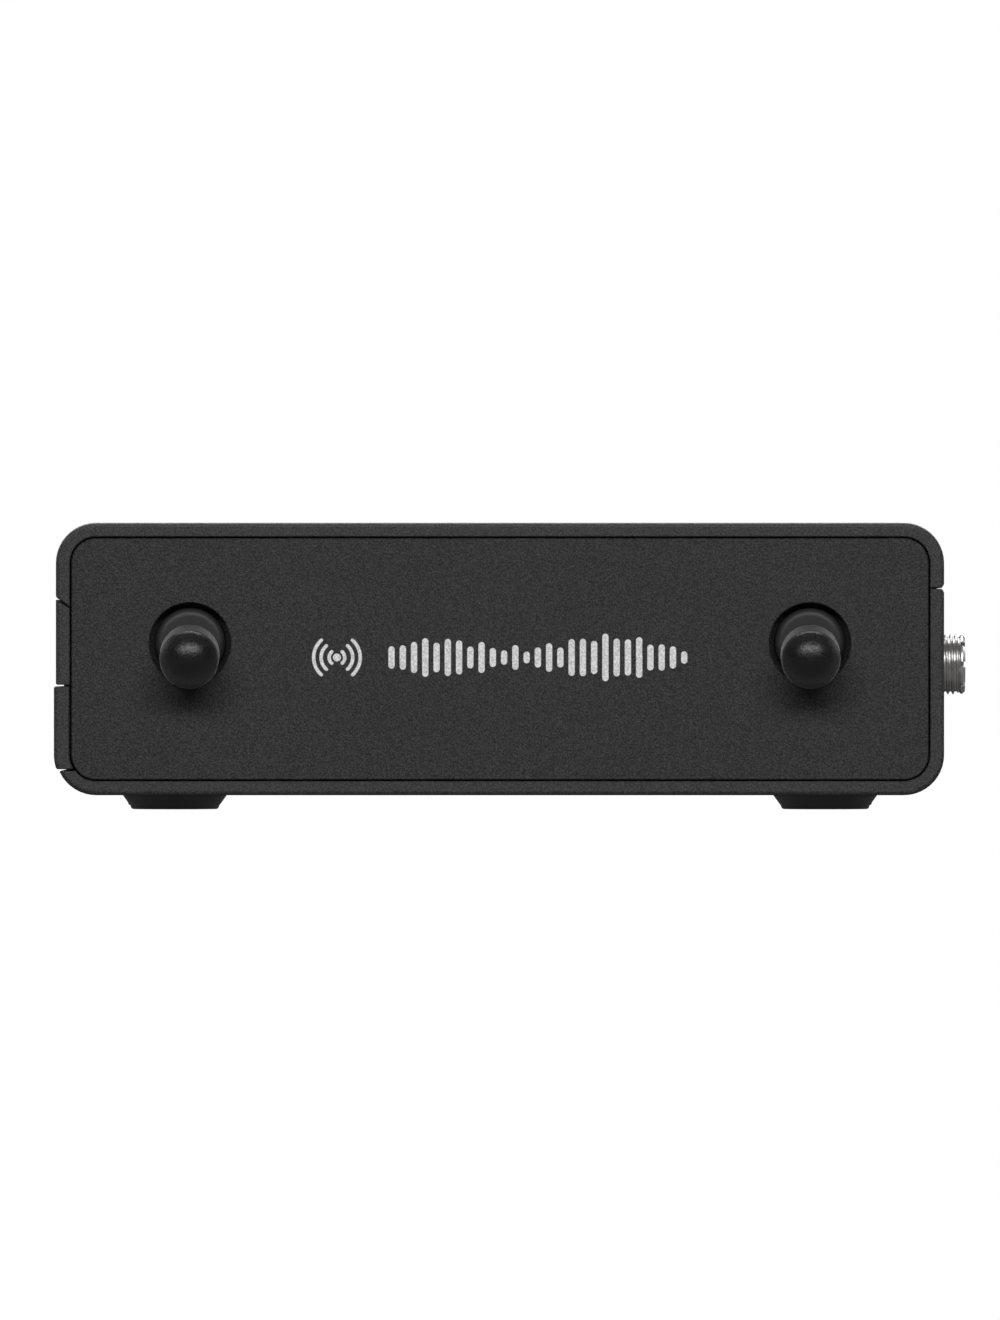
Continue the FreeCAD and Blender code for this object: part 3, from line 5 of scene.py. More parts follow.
import bmesh
import bpy
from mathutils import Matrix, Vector


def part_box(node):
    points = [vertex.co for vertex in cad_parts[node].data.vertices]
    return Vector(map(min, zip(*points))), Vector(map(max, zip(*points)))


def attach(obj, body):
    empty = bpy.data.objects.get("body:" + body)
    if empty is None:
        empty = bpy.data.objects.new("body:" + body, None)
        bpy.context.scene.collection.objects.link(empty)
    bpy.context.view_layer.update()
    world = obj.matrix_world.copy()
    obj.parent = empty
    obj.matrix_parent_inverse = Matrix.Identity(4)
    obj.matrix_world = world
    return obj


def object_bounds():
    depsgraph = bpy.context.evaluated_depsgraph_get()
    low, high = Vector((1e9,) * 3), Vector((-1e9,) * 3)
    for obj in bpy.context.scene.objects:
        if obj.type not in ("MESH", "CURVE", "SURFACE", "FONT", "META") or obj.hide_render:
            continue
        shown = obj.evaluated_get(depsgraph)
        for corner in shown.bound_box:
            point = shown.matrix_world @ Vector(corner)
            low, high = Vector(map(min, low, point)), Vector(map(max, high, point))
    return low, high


# The looks of a compact wireless receiver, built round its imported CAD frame. Lengths are metres.

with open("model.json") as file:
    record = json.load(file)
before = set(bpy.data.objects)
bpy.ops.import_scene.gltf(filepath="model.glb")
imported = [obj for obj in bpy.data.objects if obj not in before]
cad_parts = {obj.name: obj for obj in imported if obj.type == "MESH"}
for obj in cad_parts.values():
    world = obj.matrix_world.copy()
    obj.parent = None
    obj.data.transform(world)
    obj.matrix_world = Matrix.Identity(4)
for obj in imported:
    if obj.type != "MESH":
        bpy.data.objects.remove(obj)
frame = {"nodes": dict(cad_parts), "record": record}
cad_low, cad_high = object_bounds()
MM = 0.001
WHITE = (1.0, 1.0, 1.0, 1.0)
LIFT = 0.02 * MM
COAT_GRAIN = 0.19 * MM
BAR_SHARE = 0.56


def grey(level, warm=0.0):
    """A neutral colour, pushed slightly towards red and away from blue by warm."""
    return (level * (1 + warm), level, level * (1 - warm), 1.0)


# ------------------------------------------------------------------ material helpers

class Tree:
    """Short names for building a material's node tree."""

    def __init__(self, name):
        self.material = bpy.data.materials.new(name)
        self.material.use_nodes = True
        self.nodes = self.material.node_tree.nodes
        self.links = self.material.node_tree.links
        self.nodes.clear()
        self.output = self.add("ShaderNodeOutputMaterial")
        self.coords = self.add("ShaderNodeTexCoord").outputs["Object"]

    def add(self, kind, inputs=None, **settings):
        node = self.nodes.new(kind)
        for key, value in settings.items():
            setattr(node, key, value)
        for key, value in (inputs or {}).items():
            self.feed(node.inputs[key], value)
        return node

    def feed(self, socket, value):
        if isinstance(value, bpy.types.NodeSocket):
            self.links.new(value, socket)
        else:
            socket.default_value = value

    def noise(self, size, detail=2.0, stretch=None):
        """Noise whose features are about size metres across, optionally stretched along an axis."""
        vector = self.coords
        if stretch:
            vector = self.add("ShaderNodeMapping", {"Vector": vector, "Scale": stretch}).outputs[0]
        node = self.add("ShaderNodeTexNoise", {"Vector": vector, "Scale": 1 / size,
                                               "Detail": detail, "Roughness": 0.55})
        return node.outputs["Fac"]

    def cells(self, size):
        node = self.add("ShaderNodeTexVoronoi", {"Vector": self.coords, "Scale": 1 / size})
        return node.outputs["Distance"]

    def remap(self, value, low, high, start=0.0, end=1.0):
        node = self.add("ShaderNodeMapRange", {"Value": value, "From Min": start, "From Max": end,
                                               "To Min": low, "To Max": high})
        return node.outputs["Result"]

    def maths(self, operation, a, b=0.0):
        node = self.add("ShaderNodeMath", operation=operation)
        self.feed(node.inputs[0], a)
        self.feed(node.inputs[1], b)
        return node.outputs[0]

    def blend(self, amount, dark, light):
        node = self.add("ShaderNodeMix", data_type="RGBA")
        self.feed(node.inputs["Factor"], amount)
        self.feed(node.inputs["A"], dark)
        self.feed(node.inputs["B"], light)
        return node.outputs["Result"]

    def bump(self, height, tall):
        node = self.add("ShaderNodeBump", {"Height": height, "Distance": tall, "Strength": 1.0})
        return node.outputs["Normal"]

    def edge_mask(self, radius):
        """About 1 on sharp outer edges, 0 on flat faces."""
        soft = self.add("ShaderNodeBevel", {"Radius": radius}, samples=4).outputs["Normal"]
        plain = self.add("ShaderNodeNewGeometry").outputs["Normal"]
        dot = self.add("ShaderNodeVectorMath", operation="DOT_PRODUCT")
        self.feed(dot.inputs[0], soft)
        self.feed(dot.inputs[1], plain)
        return self.remap(dot.outputs["Value"], 1.0, 0.0, 0.75, 0.995)

    def principled(self, **inputs):
        shader = self.add("ShaderNodeBsdfPrincipled")
        for key, value in inputs.items():
            self.feed(shader.inputs[key.replace("_", " ")], value)
        return shader.outputs[0]

    def done(self, shader):
        self.links.new(shader, self.output.inputs["Surface"])
        return self.material


def textured_coat(name, level, rough, grain, tall, spread, wear=0.0):
    """Fine-grained paint or moulded plastic: pebbled bump, slightly worn edges, and a speckled tone
    that is lighter on the pebble crests and darker in the hollows, painted shading of the relief.
    """
    warm = 0.01
    tree = Tree(name)
    fine = tree.noise(grain * 0.8, 2.0)
    pebble = tree.cells(grain)
    wide = tree.noise(9 * MM, 2.0)
    crest = tree.remap(pebble, 1.0, 0.0, 0.05, 0.65)
    # The tone follows the bump's noise and pebbles, lighter on the crests and darker in the hollows:
    # painted shading of the relief.
    painted_relief_shade = tree.maths("ADD", tree.maths("MULTIPLY", tree.remap(fine, 0.0, 1.0, 0.3, 0.7), 0.6),
                       tree.maths("MULTIPLY", crest, 0.4))
    speck = tree.maths("MULTIPLY", painted_relief_shade, tree.remap(wide, 0.92, 1.08))
    tone = tree.blend(tree.remap(speck, 0.0, 1.0, 0.2, 0.8),
                      grey(level * (1 - spread), warm), grey(level * (1 + spread), warm))
    if wear:
        worn = tree.maths("MULTIPLY", tree.edge_mask(0.12 * MM),
                          tree.remap(fine, 0.0, wear, 0.35, 0.65))
        tone = tree.blend(worn, tone, grey(level * 2.6, warm))
    height = tree.maths("ADD", tree.maths("MULTIPLY", fine, 0.7), crest)
    shader = tree.principled(
        Base_Color=tone, Roughness=tree.remap(fine, rough - 0.07, rough + 0.09, 0.3, 0.7),
        Normal=tree.bump(height, tall))
    return tree.done(shader)


def soft_rubber(name, level, rough, grain=0.09 * MM, tall=0.004 * MM, sheen=0.08):
    """Satin elastomer: dull, with fine grain, faint dust in the tone and a soft sheen."""
    tree = Tree(name)
    fine = tree.noise(grain, 4.0)
    dust = tree.noise(2.2 * MM, 4.0)
    tone = tree.blend(tree.remap(dust, 0.0, 1.0, 0.35, 0.75), grey(level, 0.01),
                      grey(level * 1.35, 0.02))
    shader = tree.principled(
        Base_Color=tone, Roughness=tree.remap(fine, rough - 0.06, rough + 0.08, 0.3, 0.7),
        Normal=tree.bump(fine, tall), Sheen_Weight=sheen, Sheen_Roughness=0.4,
        Specular_IOR_Level=0.4)
    return tree.done(shader)


def turned_metal(name, colour, rough, stretch, tall=0.0015 * MM, metal=1.0, edge=1.0):
    """Machined or drawn metal with fine tool lines and small stains; edge dulls grazing glare."""
    tree = Tree(name)
    lines = tree.noise(0.05 * MM, 3.0, stretch)
    stain = tree.noise(1.5 * MM, 5.0)
    dark = tuple(c * 0.72 for c in colour) + (1.0,)
    tone = tree.blend(tree.remap(stain, 0.0, 1.0, 0.35, 0.6), dark, tuple(colour) + (1.0,))
    shader = tree.principled(
        Base_Color=tone, Metallic=metal, Specular_Tint=grey(edge), Normal=tree.bump(lines, tall),
        Roughness=tree.remap(stain, rough, rough + 0.16, 0.3, 0.8))
    return tree.done(shader)


def moulded(name, colour, rough, coat=0.0):
    """Injection-moulded plastic with a faint spark-eroded grain and flow variation."""
    tree = Tree(name)
    fine = tree.noise(0.25 * MM, 3.0)
    flow = tree.noise(6 * MM, 3.0)
    dark = tuple(c * 0.86 for c in colour) + (1.0,)
    light = tuple(min(c * 1.14, 1) for c in colour) + (1.0,)
    shader = tree.principled(
        Base_Color=tree.blend(flow, dark, light), Coat_Weight=coat, Coat_Roughness=0.2,
        Roughness=tree.remap(fine, rough - 0.05, rough + 0.07, 0.3, 0.7),
        Normal=tree.bump(fine, 0.003 * MM))
    return tree.done(shader)


def solder_mask(name):
    """Green circuit board: copper tracks and ground pour showing through the mask."""
    tree = Tree(name)
    tracks = tree.add("ShaderNodeTexBrick", {
        "Vector": tree.coords, "Scale": 260.0, "Mortar Size": 0.03, "Mortar Smooth": 0.2,
        "Brick Width": 1.3, "Row Height": 0.32, "Color1": grey(0.0), "Color2": grey(0.15),
        "Mortar": WHITE}).outputs["Color"]
    pour = tree.remap(tree.noise(4 * MM, 1.0), 0.0, 1.0, 0.48, 0.52)
    relief = tree.maths("MAXIMUM", tracks, tree.maths("MULTIPLY", pour, 0.35))
    tone = tree.blend(relief, (0.008, 0.062, 0.028, 1), (0.03, 0.17, 0.075, 1))
    shader = tree.principled(Base_Color=tone, Roughness=tree.remap(relief, 0.42, 0.3),
                             Normal=tree.bump(relief, 0.02 * MM), Coat_Weight=0.4,
                             Coat_Roughness=0.25)
    return tree.done(shader)


def woven(name, colour):
    """Woven ribbon: crossing wave bands give the over-and-under of the yarns, and the tone darkens
    where the weave dips, painted shade between the yarns.
    """
    pitch = 0.35 * MM
    tree = Tree(name)
    warp = tree.add("ShaderNodeTexWave", {"Vector": tree.coords, "Scale": 0.3 / pitch,
                                          "Distortion": 0.6}, bands_direction="X")
    weft = tree.add("ShaderNodeTexWave", {"Vector": tree.coords, "Scale": 0.3 / pitch,
                                          "Distortion": 0.6}, bands_direction="Y")
    cloth = tree.maths("MULTIPLY", warp.outputs["Fac"], weft.outputs["Fac"])
    fuzz = tree.noise(0.06 * MM, 4.0)
    # Darker where the yarns dip under: painted shade in the weave.
    tone = tree.blend(cloth, tuple(c * 0.5 for c in colour) + (1,), tuple(colour) + (1,))
    height = tree.maths("ADD", cloth, tree.maths("MULTIPLY", fuzz, 0.3))
    shader = tree.principled(Base_Color=tone, Roughness=0.85, Sheen_Weight=0.4,
                             Normal=tree.bump(height, 0.05 * MM))
    return tree.done(shader)


def foam(name):
    tree = Tree(name)
    cells = tree.cells(0.5 * MM)
    # Darker at the middle of each cell, where the bump sinks into a pore: painted shade in the
    # pores.
    tone = tree.blend(tree.remap(cells, 0.0, 1.0, 0.0, 0.6), grey(0.008), grey(0.035))
    shader = tree.principled(Base_Color=tone, Roughness=0.95,
                             Normal=tree.bump(cells, 0.12 * MM), Sheen_Weight=0.2)
    return tree.done(shader)


def smoked_acrylic(name, tint, clear, rough=0.06):
    """Tinted clear plastic with a few fine surface hairlines."""
    tree = Tree(name)
    hair = tree.noise(0.4 * MM, 2.0, (1.0, 1.0, 0.04))
    glassy = tree.principled(
        Base_Color=tint, Transmission_Weight=clear, IOR=1.49, Normal=tree.bump(hair, 0.0006 * MM),
        Roughness=tree.remap(hair, rough * 0.6, rough * 1.4, 0.3, 0.7))
    return tree.done(glassy)


def lit_pixels(name, colour, power):
    """Display segments: emissive, broken into the fine grid of the panel."""
    tree = Tree(name)
    grid = []
    for direction in ("X", "Z"):
        wave = tree.add("ShaderNodeTexWave", {"Vector": tree.coords, "Scale": 0.3 / (0.12 * MM)},
                        bands_direction=direction)
        grid.append(tree.remap(wave.outputs["Fac"], 0.45, 1.0))
    strength = tree.maths("MULTIPLY", tree.maths("MULTIPLY", grid[0], grid[1]), power)
    shader = tree.principled(Base_Color=grey(0.02), Roughness=0.3, Emission_Color=colour,
                             Emission_Strength=strength)
    return tree.done(shader)


def glitter_ink(name, level):
    """Pale silver screen print whose flakes each get their own lighter or darker tone, a painted
    sparkle in place of flakes catching the light.
    """
    tree = Tree(name)
    flake = tree.add("ShaderNodeTexVoronoi", {"Vector": tree.coords, "Scale": 1 / (0.13 * MM)})
    value = tree.add("ShaderNodeSeparateColor", {"Color": flake.outputs["Color"]}).outputs[0]
    # Per-flake tone from the cell colour: painted sparkle.
    tone = tree.blend(value, grey(level * 0.62), grey(min(level * 1.28, 1.0)))
    shader = tree.principled(
        Base_Color=tone, Metallic=0.15, Roughness=tree.remap(value, 0.45, 0.75),
        Normal=tree.bump(tree.noise(0.12 * MM, 2.0), 0.006 * MM))
    return tree.done(shader)


def chip_epoxy(name):
    tree = Tree(name)
    fine = tree.noise(0.12 * MM, 3.0)
    shader = tree.principled(Base_Color=tree.blend(fine, grey(0.012), grey(0.03)),
                             Roughness=tree.remap(fine, 0.45, 0.65),
                             Normal=tree.bump(fine, 0.006 * MM))
    return tree.done(shader)


ROUND_X = (0.05, 1.0, 1.0)
ROUND_Z = (1.0, 1.0, 0.05)
FLAT = (1.0, 0.06, 1.0)

FINISH = {
    "shell_coat": textured_coat("shell_coat_finish", 0.038, 0.60, COAT_GRAIN, 0.016 * MM,
                                0.65, wear=0.12),
    "panel_plastic": textured_coat("panel_finish", 0.0255, 0.62, COAT_GRAIN, 0.020 * MM, 1.0),
    "door_plastic": textured_coat("door_finish", 0.038, 0.60, COAT_GRAIN, 0.016 * MM,
                                  0.65, wear=0.12),
    "steel": turned_metal("steel_finish", (0.56, 0.56, 0.58), 0.25, ROUND_Z),
    "foam": foam("foam_finish"),
    "collar_plastic": soft_rubber("collar_finish", 0.018, 0.50, 0.1 * MM, 0.008 * MM, sheen=0.0),
    "white_plastic": moulded("nylon_finish", (0.78, 0.77, 0.72), 0.4),
    "antenna_rubber": soft_rubber("antenna_finish", 0.006, 0.30, 0.22 * MM, 0.034 * MM, 0.42),
    "copper": turned_metal("copper_finish", (0.86, 0.42, 0.24), 0.22, None),
    "cable_black": moulded("cable_finish", (0.02, 0.02, 0.021), 0.35, coat=0.2),
    "foot_rubber": soft_rubber("foot_finish", 0.04, 0.5, 0.2 * MM, 0.01 * MM),
    "brass": turned_metal("brass_finish", (0.82, 0.62, 0.30), 0.22, ROUND_Z),
    "nickel": turned_metal("nickel_finish", (0.78, 0.77, 0.75), 0.28, ROUND_X,
                           tall=0.0008 * MM, metal=0.85, edge=0.2),
    "black_plastic": moulded("black_plastic_finish", (0.018, 0.018, 0.019), 0.42),
    "tin_plate": turned_metal("tin_finish", (0.70, 0.70, 0.69), 0.3, FLAT),
    "bay_plastic": moulded("bay_finish", (0.045, 0.045, 0.047), 0.5),
    "pack_plastic": moulded("pack_finish", (0.040, 0.041, 0.045), 0.36, coat=0.1),
    "gold_contact": turned_metal("gold_finish", (0.95, 0.74, 0.38), 0.2, FLAT),
    "ribbon_fabric": woven("ribbon_finish", (0.09, 0.09, 0.10)),
    "lead_red": moulded("lead_finish", (0.50, 0.025, 0.02), 0.32, coat=0.2),
    "board_green": solder_mask("board_finish"),
    "display_glass": moulded("display_glass_finish", (0.008, 0.008, 0.010), 0.12, coat=0.8),
    "window_clear": smoked_acrylic("window_finish", grey(0.62), 0.92),
    "flex_amber": moulded("flex_finish", (0.55, 0.26, 0.05), 0.25, coat=0.5),
    "light_pipe": smoked_acrylic("light_pipe_finish", (0.75, 0.95, 0.8, 1), 0.7, 0.35),
    "button_rubber": soft_rubber("button_finish", 0.030, 0.5),
}
CHIP = chip_epoxy("chip_finish")


def paint_cad_nodes():
    """Give every carried-over CAD node the finish of its material slot."""
    for part in frame["record"]["subparts"]:
        node = frame["nodes"][part["node"]]
        finish = CHIP if part["node"] == "main_board_chips" else FINISH[part["material_slot"]]
        for index in range(max(len(node.data.materials), 1)):
            if index < len(node.data.materials):
                node.data.materials[index] = finish
            else:
                node.data.materials.append(finish)


# ------------------------------------------------------------------ mesh helpers

def new_piece(name, mesh, body, slot_name, *finishes):
    """Link a bmesh as a piece that rides on a CAD body."""
    bmesh.ops.recalc_face_normals(mesh, faces=mesh.faces)
    data = bpy.data.meshes.new(name)
    mesh.to_mesh(data)
    mesh.free()
    for finish in finishes:
        data.materials.append(finish)
    piece = bpy.data.objects.new(name, data)
    bpy.context.scene.collection.objects.link(piece)
    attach(piece, body)
    return piece


class Sheet:
    """Thin raised shapes drawn on a flat face: u, v are metres across and up from its middle."""

    def __init__(self, origin, across, up, thick):
        self.mesh = bmesh.new()
        self.origin = Vector(origin)
        self.across = Vector(across)
        self.up = Vector(up)
        self.out = self.across.cross(self.up)
        self.thick = thick

    def outline(self, points, finish=0):
        """A closed prism over an outline, standing thick above the face."""
        flat = [self.origin + self.across * u + self.up * v for u, v in points]
        low = [self.mesh.verts.new(p - self.out * self.thick * 0.3) for p in flat]
        high = [self.mesh.verts.new(p + self.out * self.thick) for p in flat]
        count = len(points)
        faces = [self.mesh.faces.new(low[::-1]), self.mesh.faces.new(high)]
        for i in range(count):
            j = (i + 1) % count
            faces.append(self.mesh.faces.new((low[i], low[j], high[j], high[i])))
        for face in faces:
            face.material_index = finish

    def bar(self, u, v, wide, tall, round_by=None, finish=0):
        """A rectangle with rounded corners."""
        r = min(wide, tall) / 2 * 0.999 if round_by is None else round_by
        points = []
        for quarter in range(4):
            cu = (wide / 2 - r) * (1 if quarter in (0, 3) else -1)
            cv = (tall / 2 - r) * (1 if quarter in (0, 1) else -1)
            steps = 6 if r > 0 else 1
            for k in range(steps):
                angle = (quarter + k / max(steps - 1, 1)) * math.pi / 2
                points.append((cu + r * math.cos(angle), cv + r * math.sin(angle)))
        self.outline([(u + p, v + q) for p, q in points], finish)

    def arc(self, u, v, radius, wide, start, end, finish=0):
        """A band of a ring from angle start to end, in degrees, with round ends."""
        steps = 28
        outer, inner = radius + wide / 2, radius - wide / 2
        angles = [math.radians(start + (end - start) * k / steps) for k in range(steps + 1)]
        points = [(u + outer * math.cos(a), v + outer * math.sin(a)) for a in angles]
        points += cap(u, v, radius, wide, angles[-1], 1)
        points += [(u + inner * math.cos(a), v + inner * math.sin(a)) for a in reversed(angles)]
        points += cap(u, v, radius, wide, angles[0], -1)
        self.outline(points, finish)

    def ring(self, u, v, radius, wide):
        """A full ring, made of two half bands that meet."""
        outer, inner = radius + wide / 2, radius - wide / 2
        for start in (0, 180):
            angles = [math.radians(start + 180 * k / 24) for k in range(25)]
            points = [(u + outer * math.cos(a), v + outer * math.sin(a)) for a in angles]
            points += [(u + inner * math.cos(a), v + inner * math.sin(a)) for a in angles[::-1]]
            self.outline(points)

    def disc(self, u, v, radius, finish=0):
        steps = 32
        self.outline([(u + radius * math.cos(math.tau * k / steps),
                       v + radius * math.sin(math.tau * k / steps)) for k in range(steps)], finish)

    def triangle(self, u, v, size, direction):
        """An arrow head pointing along direction, in degrees."""
        points = []
        for k in range(3):
            angle = math.radians(direction + 120 * k)
            points.append((u + size * math.cos(angle), v + size * math.sin(angle)))
        self.outline(points)

    def finish(self, name, body, slot_name, *finishes):
        return new_piece(name, self.mesh, body, slot_name, *finishes)


def cap(u, v, radius, wide, angle, side):
    """Points of the round end of an arc band."""
    middle = (u + radius * math.cos(angle), v + radius * math.sin(angle))
    points = []
    for k in range(1, 6):
        turn = angle + side * math.pi * k / 6 if side > 0 else angle + math.pi + math.pi * k / 6
        points.append((middle[0] + wide / 2 * math.cos(turn), middle[1] + wide / 2 * math.sin(turn)))
    return points


# ------------------------------------------------------------------ print on the antenna end

def radio_waves(sheet, u, v, size, finish=0):
    """A generic broadcast pictogram: a dot with arcs to both sides."""
    stroke = size * 0.13
    sheet.disc(u, v, size * 0.15, finish)
    for ring in (0.42, 0.72, 1.0):
        for side in (0, 180):
            sheet.arc(u, v, size * ring - stroke, stroke, side - 48, side + 48, finish)


def level_bars(sheet, u, v, wide, tall, count, finish=0):
    """A row of rounded bars whose heights swell and fade like an audio level."""
    pitch = wide / count
    for k in range(count):
        along = (k + 0.5) / count
        swell = 0.5 + 0.5 * math.sin(along * math.pi * 3.0 + 0.6)
        ripple = 0.5 + 0.5 * math.cos(k * 2.3)
        taper = math.sin(along * math.pi) ** 0.4
        high = tall * (0.18 + 0.82 * (0.65 * swell + 0.35 * ripple) * taper)
        sheet.bar(u + (along - 0.5) * wide, v, pitch * BAR_SHARE, high, finish=finish)


def print_on_antenna_end():
    low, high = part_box("antenna_end_panel")
    ink = glitter_ink("silver_ink", 1.0)
    print_tall = 5.3 * MM
    print_wide = 37.6 * MM
    centre = Vector(((low.x + high.x) / 2, low.y, (low.z + high.z) / 2 + 0.15 * MM))
    sheet = Sheet(centre, (1, 0, 0), (0, 0, 1), 0.015 * MM)
    icon = print_tall / 2
    radio_waves(sheet, -print_wide / 2 + icon, 0, icon)
    bars_wide = print_wide - 2 * icon - 2.2 * MM
    level_bars(sheet, print_wide / 2 - bars_wide / 2, 0, bars_wide, print_tall, 27)
    sheet.finish("panel_print", "housing", "panel_plastic", ink)


# ------------------------------------------------------------------ control end

def draw_display():
    """What the lit screen shows: signal and audio levels, a battery and a radio symbol."""
    low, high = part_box("display_module")
    centre = Vector(((low.x + high.x) / 2, high.y, (low.z + high.z) / 2))
    screen = Sheet(centre, (-1, 0, 0), (0, 0, 1), LIFT)
    wide = 31 * MM
    tall = 12.6 * MM
    left = -wide / 2
    pale = lit_pixels("display_white", (0.85, 0.93, 1.0, 1), 2.2)
    green = lit_pixels("display_green", (0.15, 0.95, 0.35, 1), 2.0)
    amber = lit_pixels("display_amber", (1.0, 0.55, 0.08, 1), 2.0)
    for row in range(2):
        v = tall * (0.36 - 0.17 * row)
        screen.disc(left + 1.2 * MM, v, 0.55 * MM, 0)
        for k in range(12):
            tone = 0 if k == 11 else 1
            screen.bar(left + (3.2 + 1.25 * k) * MM, v, 0.85 * MM, 1.3 * MM, 0.15 * MM, tone)
    for k in range(24):
        tone = 1 if k < 15 else 2 if k < 20 else 0
        screen.bar(left + (1.2 + 1.22 * k) * MM, -tall * 0.4, 0.8 * MM, 1.6 * MM, 0.15 * MM, tone)
    radio_waves(screen, left + 4.0 * MM, -tall * 0.08, 2.2 * MM, 0)
    level_bars(screen, 3.0 * MM, -tall * 0.08, 16 * MM, 3.6 * MM, 13, 0)
    battery_u, battery_v = wide / 2 - 4.0 * MM, tall * 0.36
    for du, dv, w, h in ((0, 1.2, 5.4, 0.3), (0, -1.2, 5.4, 0.3), (-2.55, 0, 0.3, 2.1),
                         (2.55, 0, 0.3, 2.1), (3.1, 0, 0.5, 1.0)):
        screen.bar(battery_u + du * MM, battery_v + dv * MM, w * MM, h * MM, 0.05 * MM, 0)
    for k in range(3):
        screen.bar(battery_u + (-1.55 + 1.5 * k) * MM, battery_v, 1.1 * MM, 1.5 * MM, 0.1 * MM, 1)
    screen.finish("display_graphics", "housing", "display_glass", pale, green, amber)


def draw_button_icons():
    """A raised symbol on each button: arrows, tick dot, return, sync arcs and power."""
    ink = glitter_ink("button_ink", 0.5)

    def on(name):
        low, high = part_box("button_" + name)
        spot = Vector(((low.x + high.x) / 2, high.y, (low.z + high.z) / 2))
        return Sheet(spot, (-1, 0, 0), (0, 0, 1), LIFT)

    icons = {name: on(name) for name in ("up", "down", "set", "back", "sync", "power")}
    icons["up"].triangle(0, -0.15 * MM, 1.1 * MM, 90)
    icons["down"].triangle(0, 0.15 * MM, 1.1 * MM, 270)
    icons["set"].ring(0, 0, 0.95 * MM, 0.28 * MM)
    icons["set"].disc(0, 0, 0.42 * MM)
    icons["back"].bar(0.3 * MM, 0, 1.7 * MM, 0.3 * MM)
    icons["back"].triangle(-0.75 * MM, 0, 0.75 * MM, 180)
    for start in (20, 200):
        icons["sync"].arc(0, 0, 0.95 * MM, 0.26 * MM, start, start + 115)
        tip = math.radians(start + 125)
        icons["sync"].triangle(0.95 * MM * math.cos(tip), 0.95 * MM * math.sin(tip), 0.45 * MM,
                               start + 215)
    icons["power"].arc(0, 0, 0.95 * MM, 0.28 * MM, 125, 415)
    icons["power"].bar(0, 0.75 * MM, 0.28 * MM, 1.2 * MM)
    for name, sheet in icons.items():
        sheet.finish("icon_" + name, "key_" + name, "button_rubber", ink)


# ------------------------------------------------------------------ battery and boards

def dress_battery():
    """A plain label with plus and minus marks on the pack's door side."""
    low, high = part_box("battery_pack")
    face = Vector((low.x, (low.y + high.y) / 2, (low.z + high.z) / 2))
    label = Sheet(face, (0, -1, 0), (0, 0, 1), 0.03 * MM)
    long = (high.y - low.y) * 0.62
    tall = (high.z - low.z) * 0.6
    label.bar(6 * MM, 0, long, tall, 1.0 * MM, 0)
    label.finish("pack_label", "housing", "pack_plastic",
                 moulded("label_finish", (0.42, 0.43, 0.45), 0.4))
    marks = Sheet(face - Vector((0.03 * MM, 0, 0)), (0, -1, 0), (0, 0, 1), 0.02 * MM)
    marks.bar(-4 * MM, 0, 3.4 * MM, 0.8 * MM, 0.1 * MM)
    marks.bar(-4 * MM, 1.1 * MM, 0.8 * MM, 1.3 * MM, 0.1 * MM)
    marks.bar(-4 * MM, -1.1 * MM, 0.8 * MM, 1.3 * MM, 0.1 * MM)
    marks.bar(16 * MM, 0, 3.4 * MM, 0.8 * MM, 0.1 * MM)
    marks.finish("pack_marks", "housing", "pack_plastic", CHIP)


def block_on(mesh, centre, size, finish):
    """A small closed box for a board component."""
    made = bmesh.ops.create_cube(mesh, size=1.0)["verts"]
    for vert in made:
        vert.co = Vector(centre) + Vector(a * b for a, b in zip(vert.co, size))
    for face in {face for vert in made for face in vert.link_faces}:
        face.material_index = finish


def populate(mesh, face_z, x_range, y_range, pitch, seed):
    """Rows of chip capacitors and resistors: a dark or tan body between two tinned ends."""
    pick = random.Random(seed)
    x = x_range[0]
    while x < x_range[1]:
        y = y_range[0]
        while y < y_range[1]:
            if pick.random() < 0.62:
                long = pick.choice((1.0, 1.0, 1.6)) * MM
                wide, tall = long * 0.52, long * 0.45
                z = face_z + tall / 2
                lying = pick.random() < 0.5
                size = (long * 0.56, wide, tall) if lying else (wide, long * 0.56, tall)
                block_on(mesh, (x, y, z), size, pick.choice((1, 2)))
                for end in (-1, 1):
                    step = end * long * 0.39
                    spot = (x + step, y, z) if lying else (x, y + step, z)
                    ends = (long * 0.22, wide * 1.04, tall * 1.06)
                    ends = ends if lying else (ends[1], ends[0], ends[2])
                    block_on(mesh, spot, ends, 0)
            y += pitch
        x += pitch


def populate_boards():
    tin = FINISH["tin_plate"]
    tan = moulded("capacitor_finish", (0.34, 0.22, 0.12), 0.4)
    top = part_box("main_board")[1].z
    mesh = bmesh.new()
    populate(mesh, top, (-34 * MM, -30 * MM), (-15 * MM, 16 * MM), 2.0 * MM, 3)
    populate(mesh, top, (6 * MM, 8 * MM), (-18 * MM, 19 * MM), 2.0 * MM, 5)
    populate(mesh, top, (34.2 * MM, 38 * MM), (-15 * MM, 15 * MM), 2.0 * MM, 7)
    populate(mesh, top, (-24 * MM, 30 * MM), (20 * MM, 22 * MM), 2.0 * MM, 11)
    new_piece("main_board_parts", mesh, "housing", "board_green", tin, CHIP, tan)
    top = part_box("audio_board")[1].z
    mesh = bmesh.new()
    populate(mesh, top, (17.5 * MM, 19.5 * MM), (-16 * MM, 18 * MM), 2.0 * MM, 13)
    populate(mesh, top, (26 * MM, 29.5 * MM), (-20 * MM, 20 * MM), 2.2 * MM, 17)
    new_piece("audio_board_parts", mesh, "housing", "board_green", tin, CHIP, tan)


# ------------------------------------------------------------------ stage, lights, camera

FRAME_TALL = 130.73 * MM
AIM_Z = 13.4 * MM
CAMERA_AWAY = 1.70
KEY_ELEVATION = 31


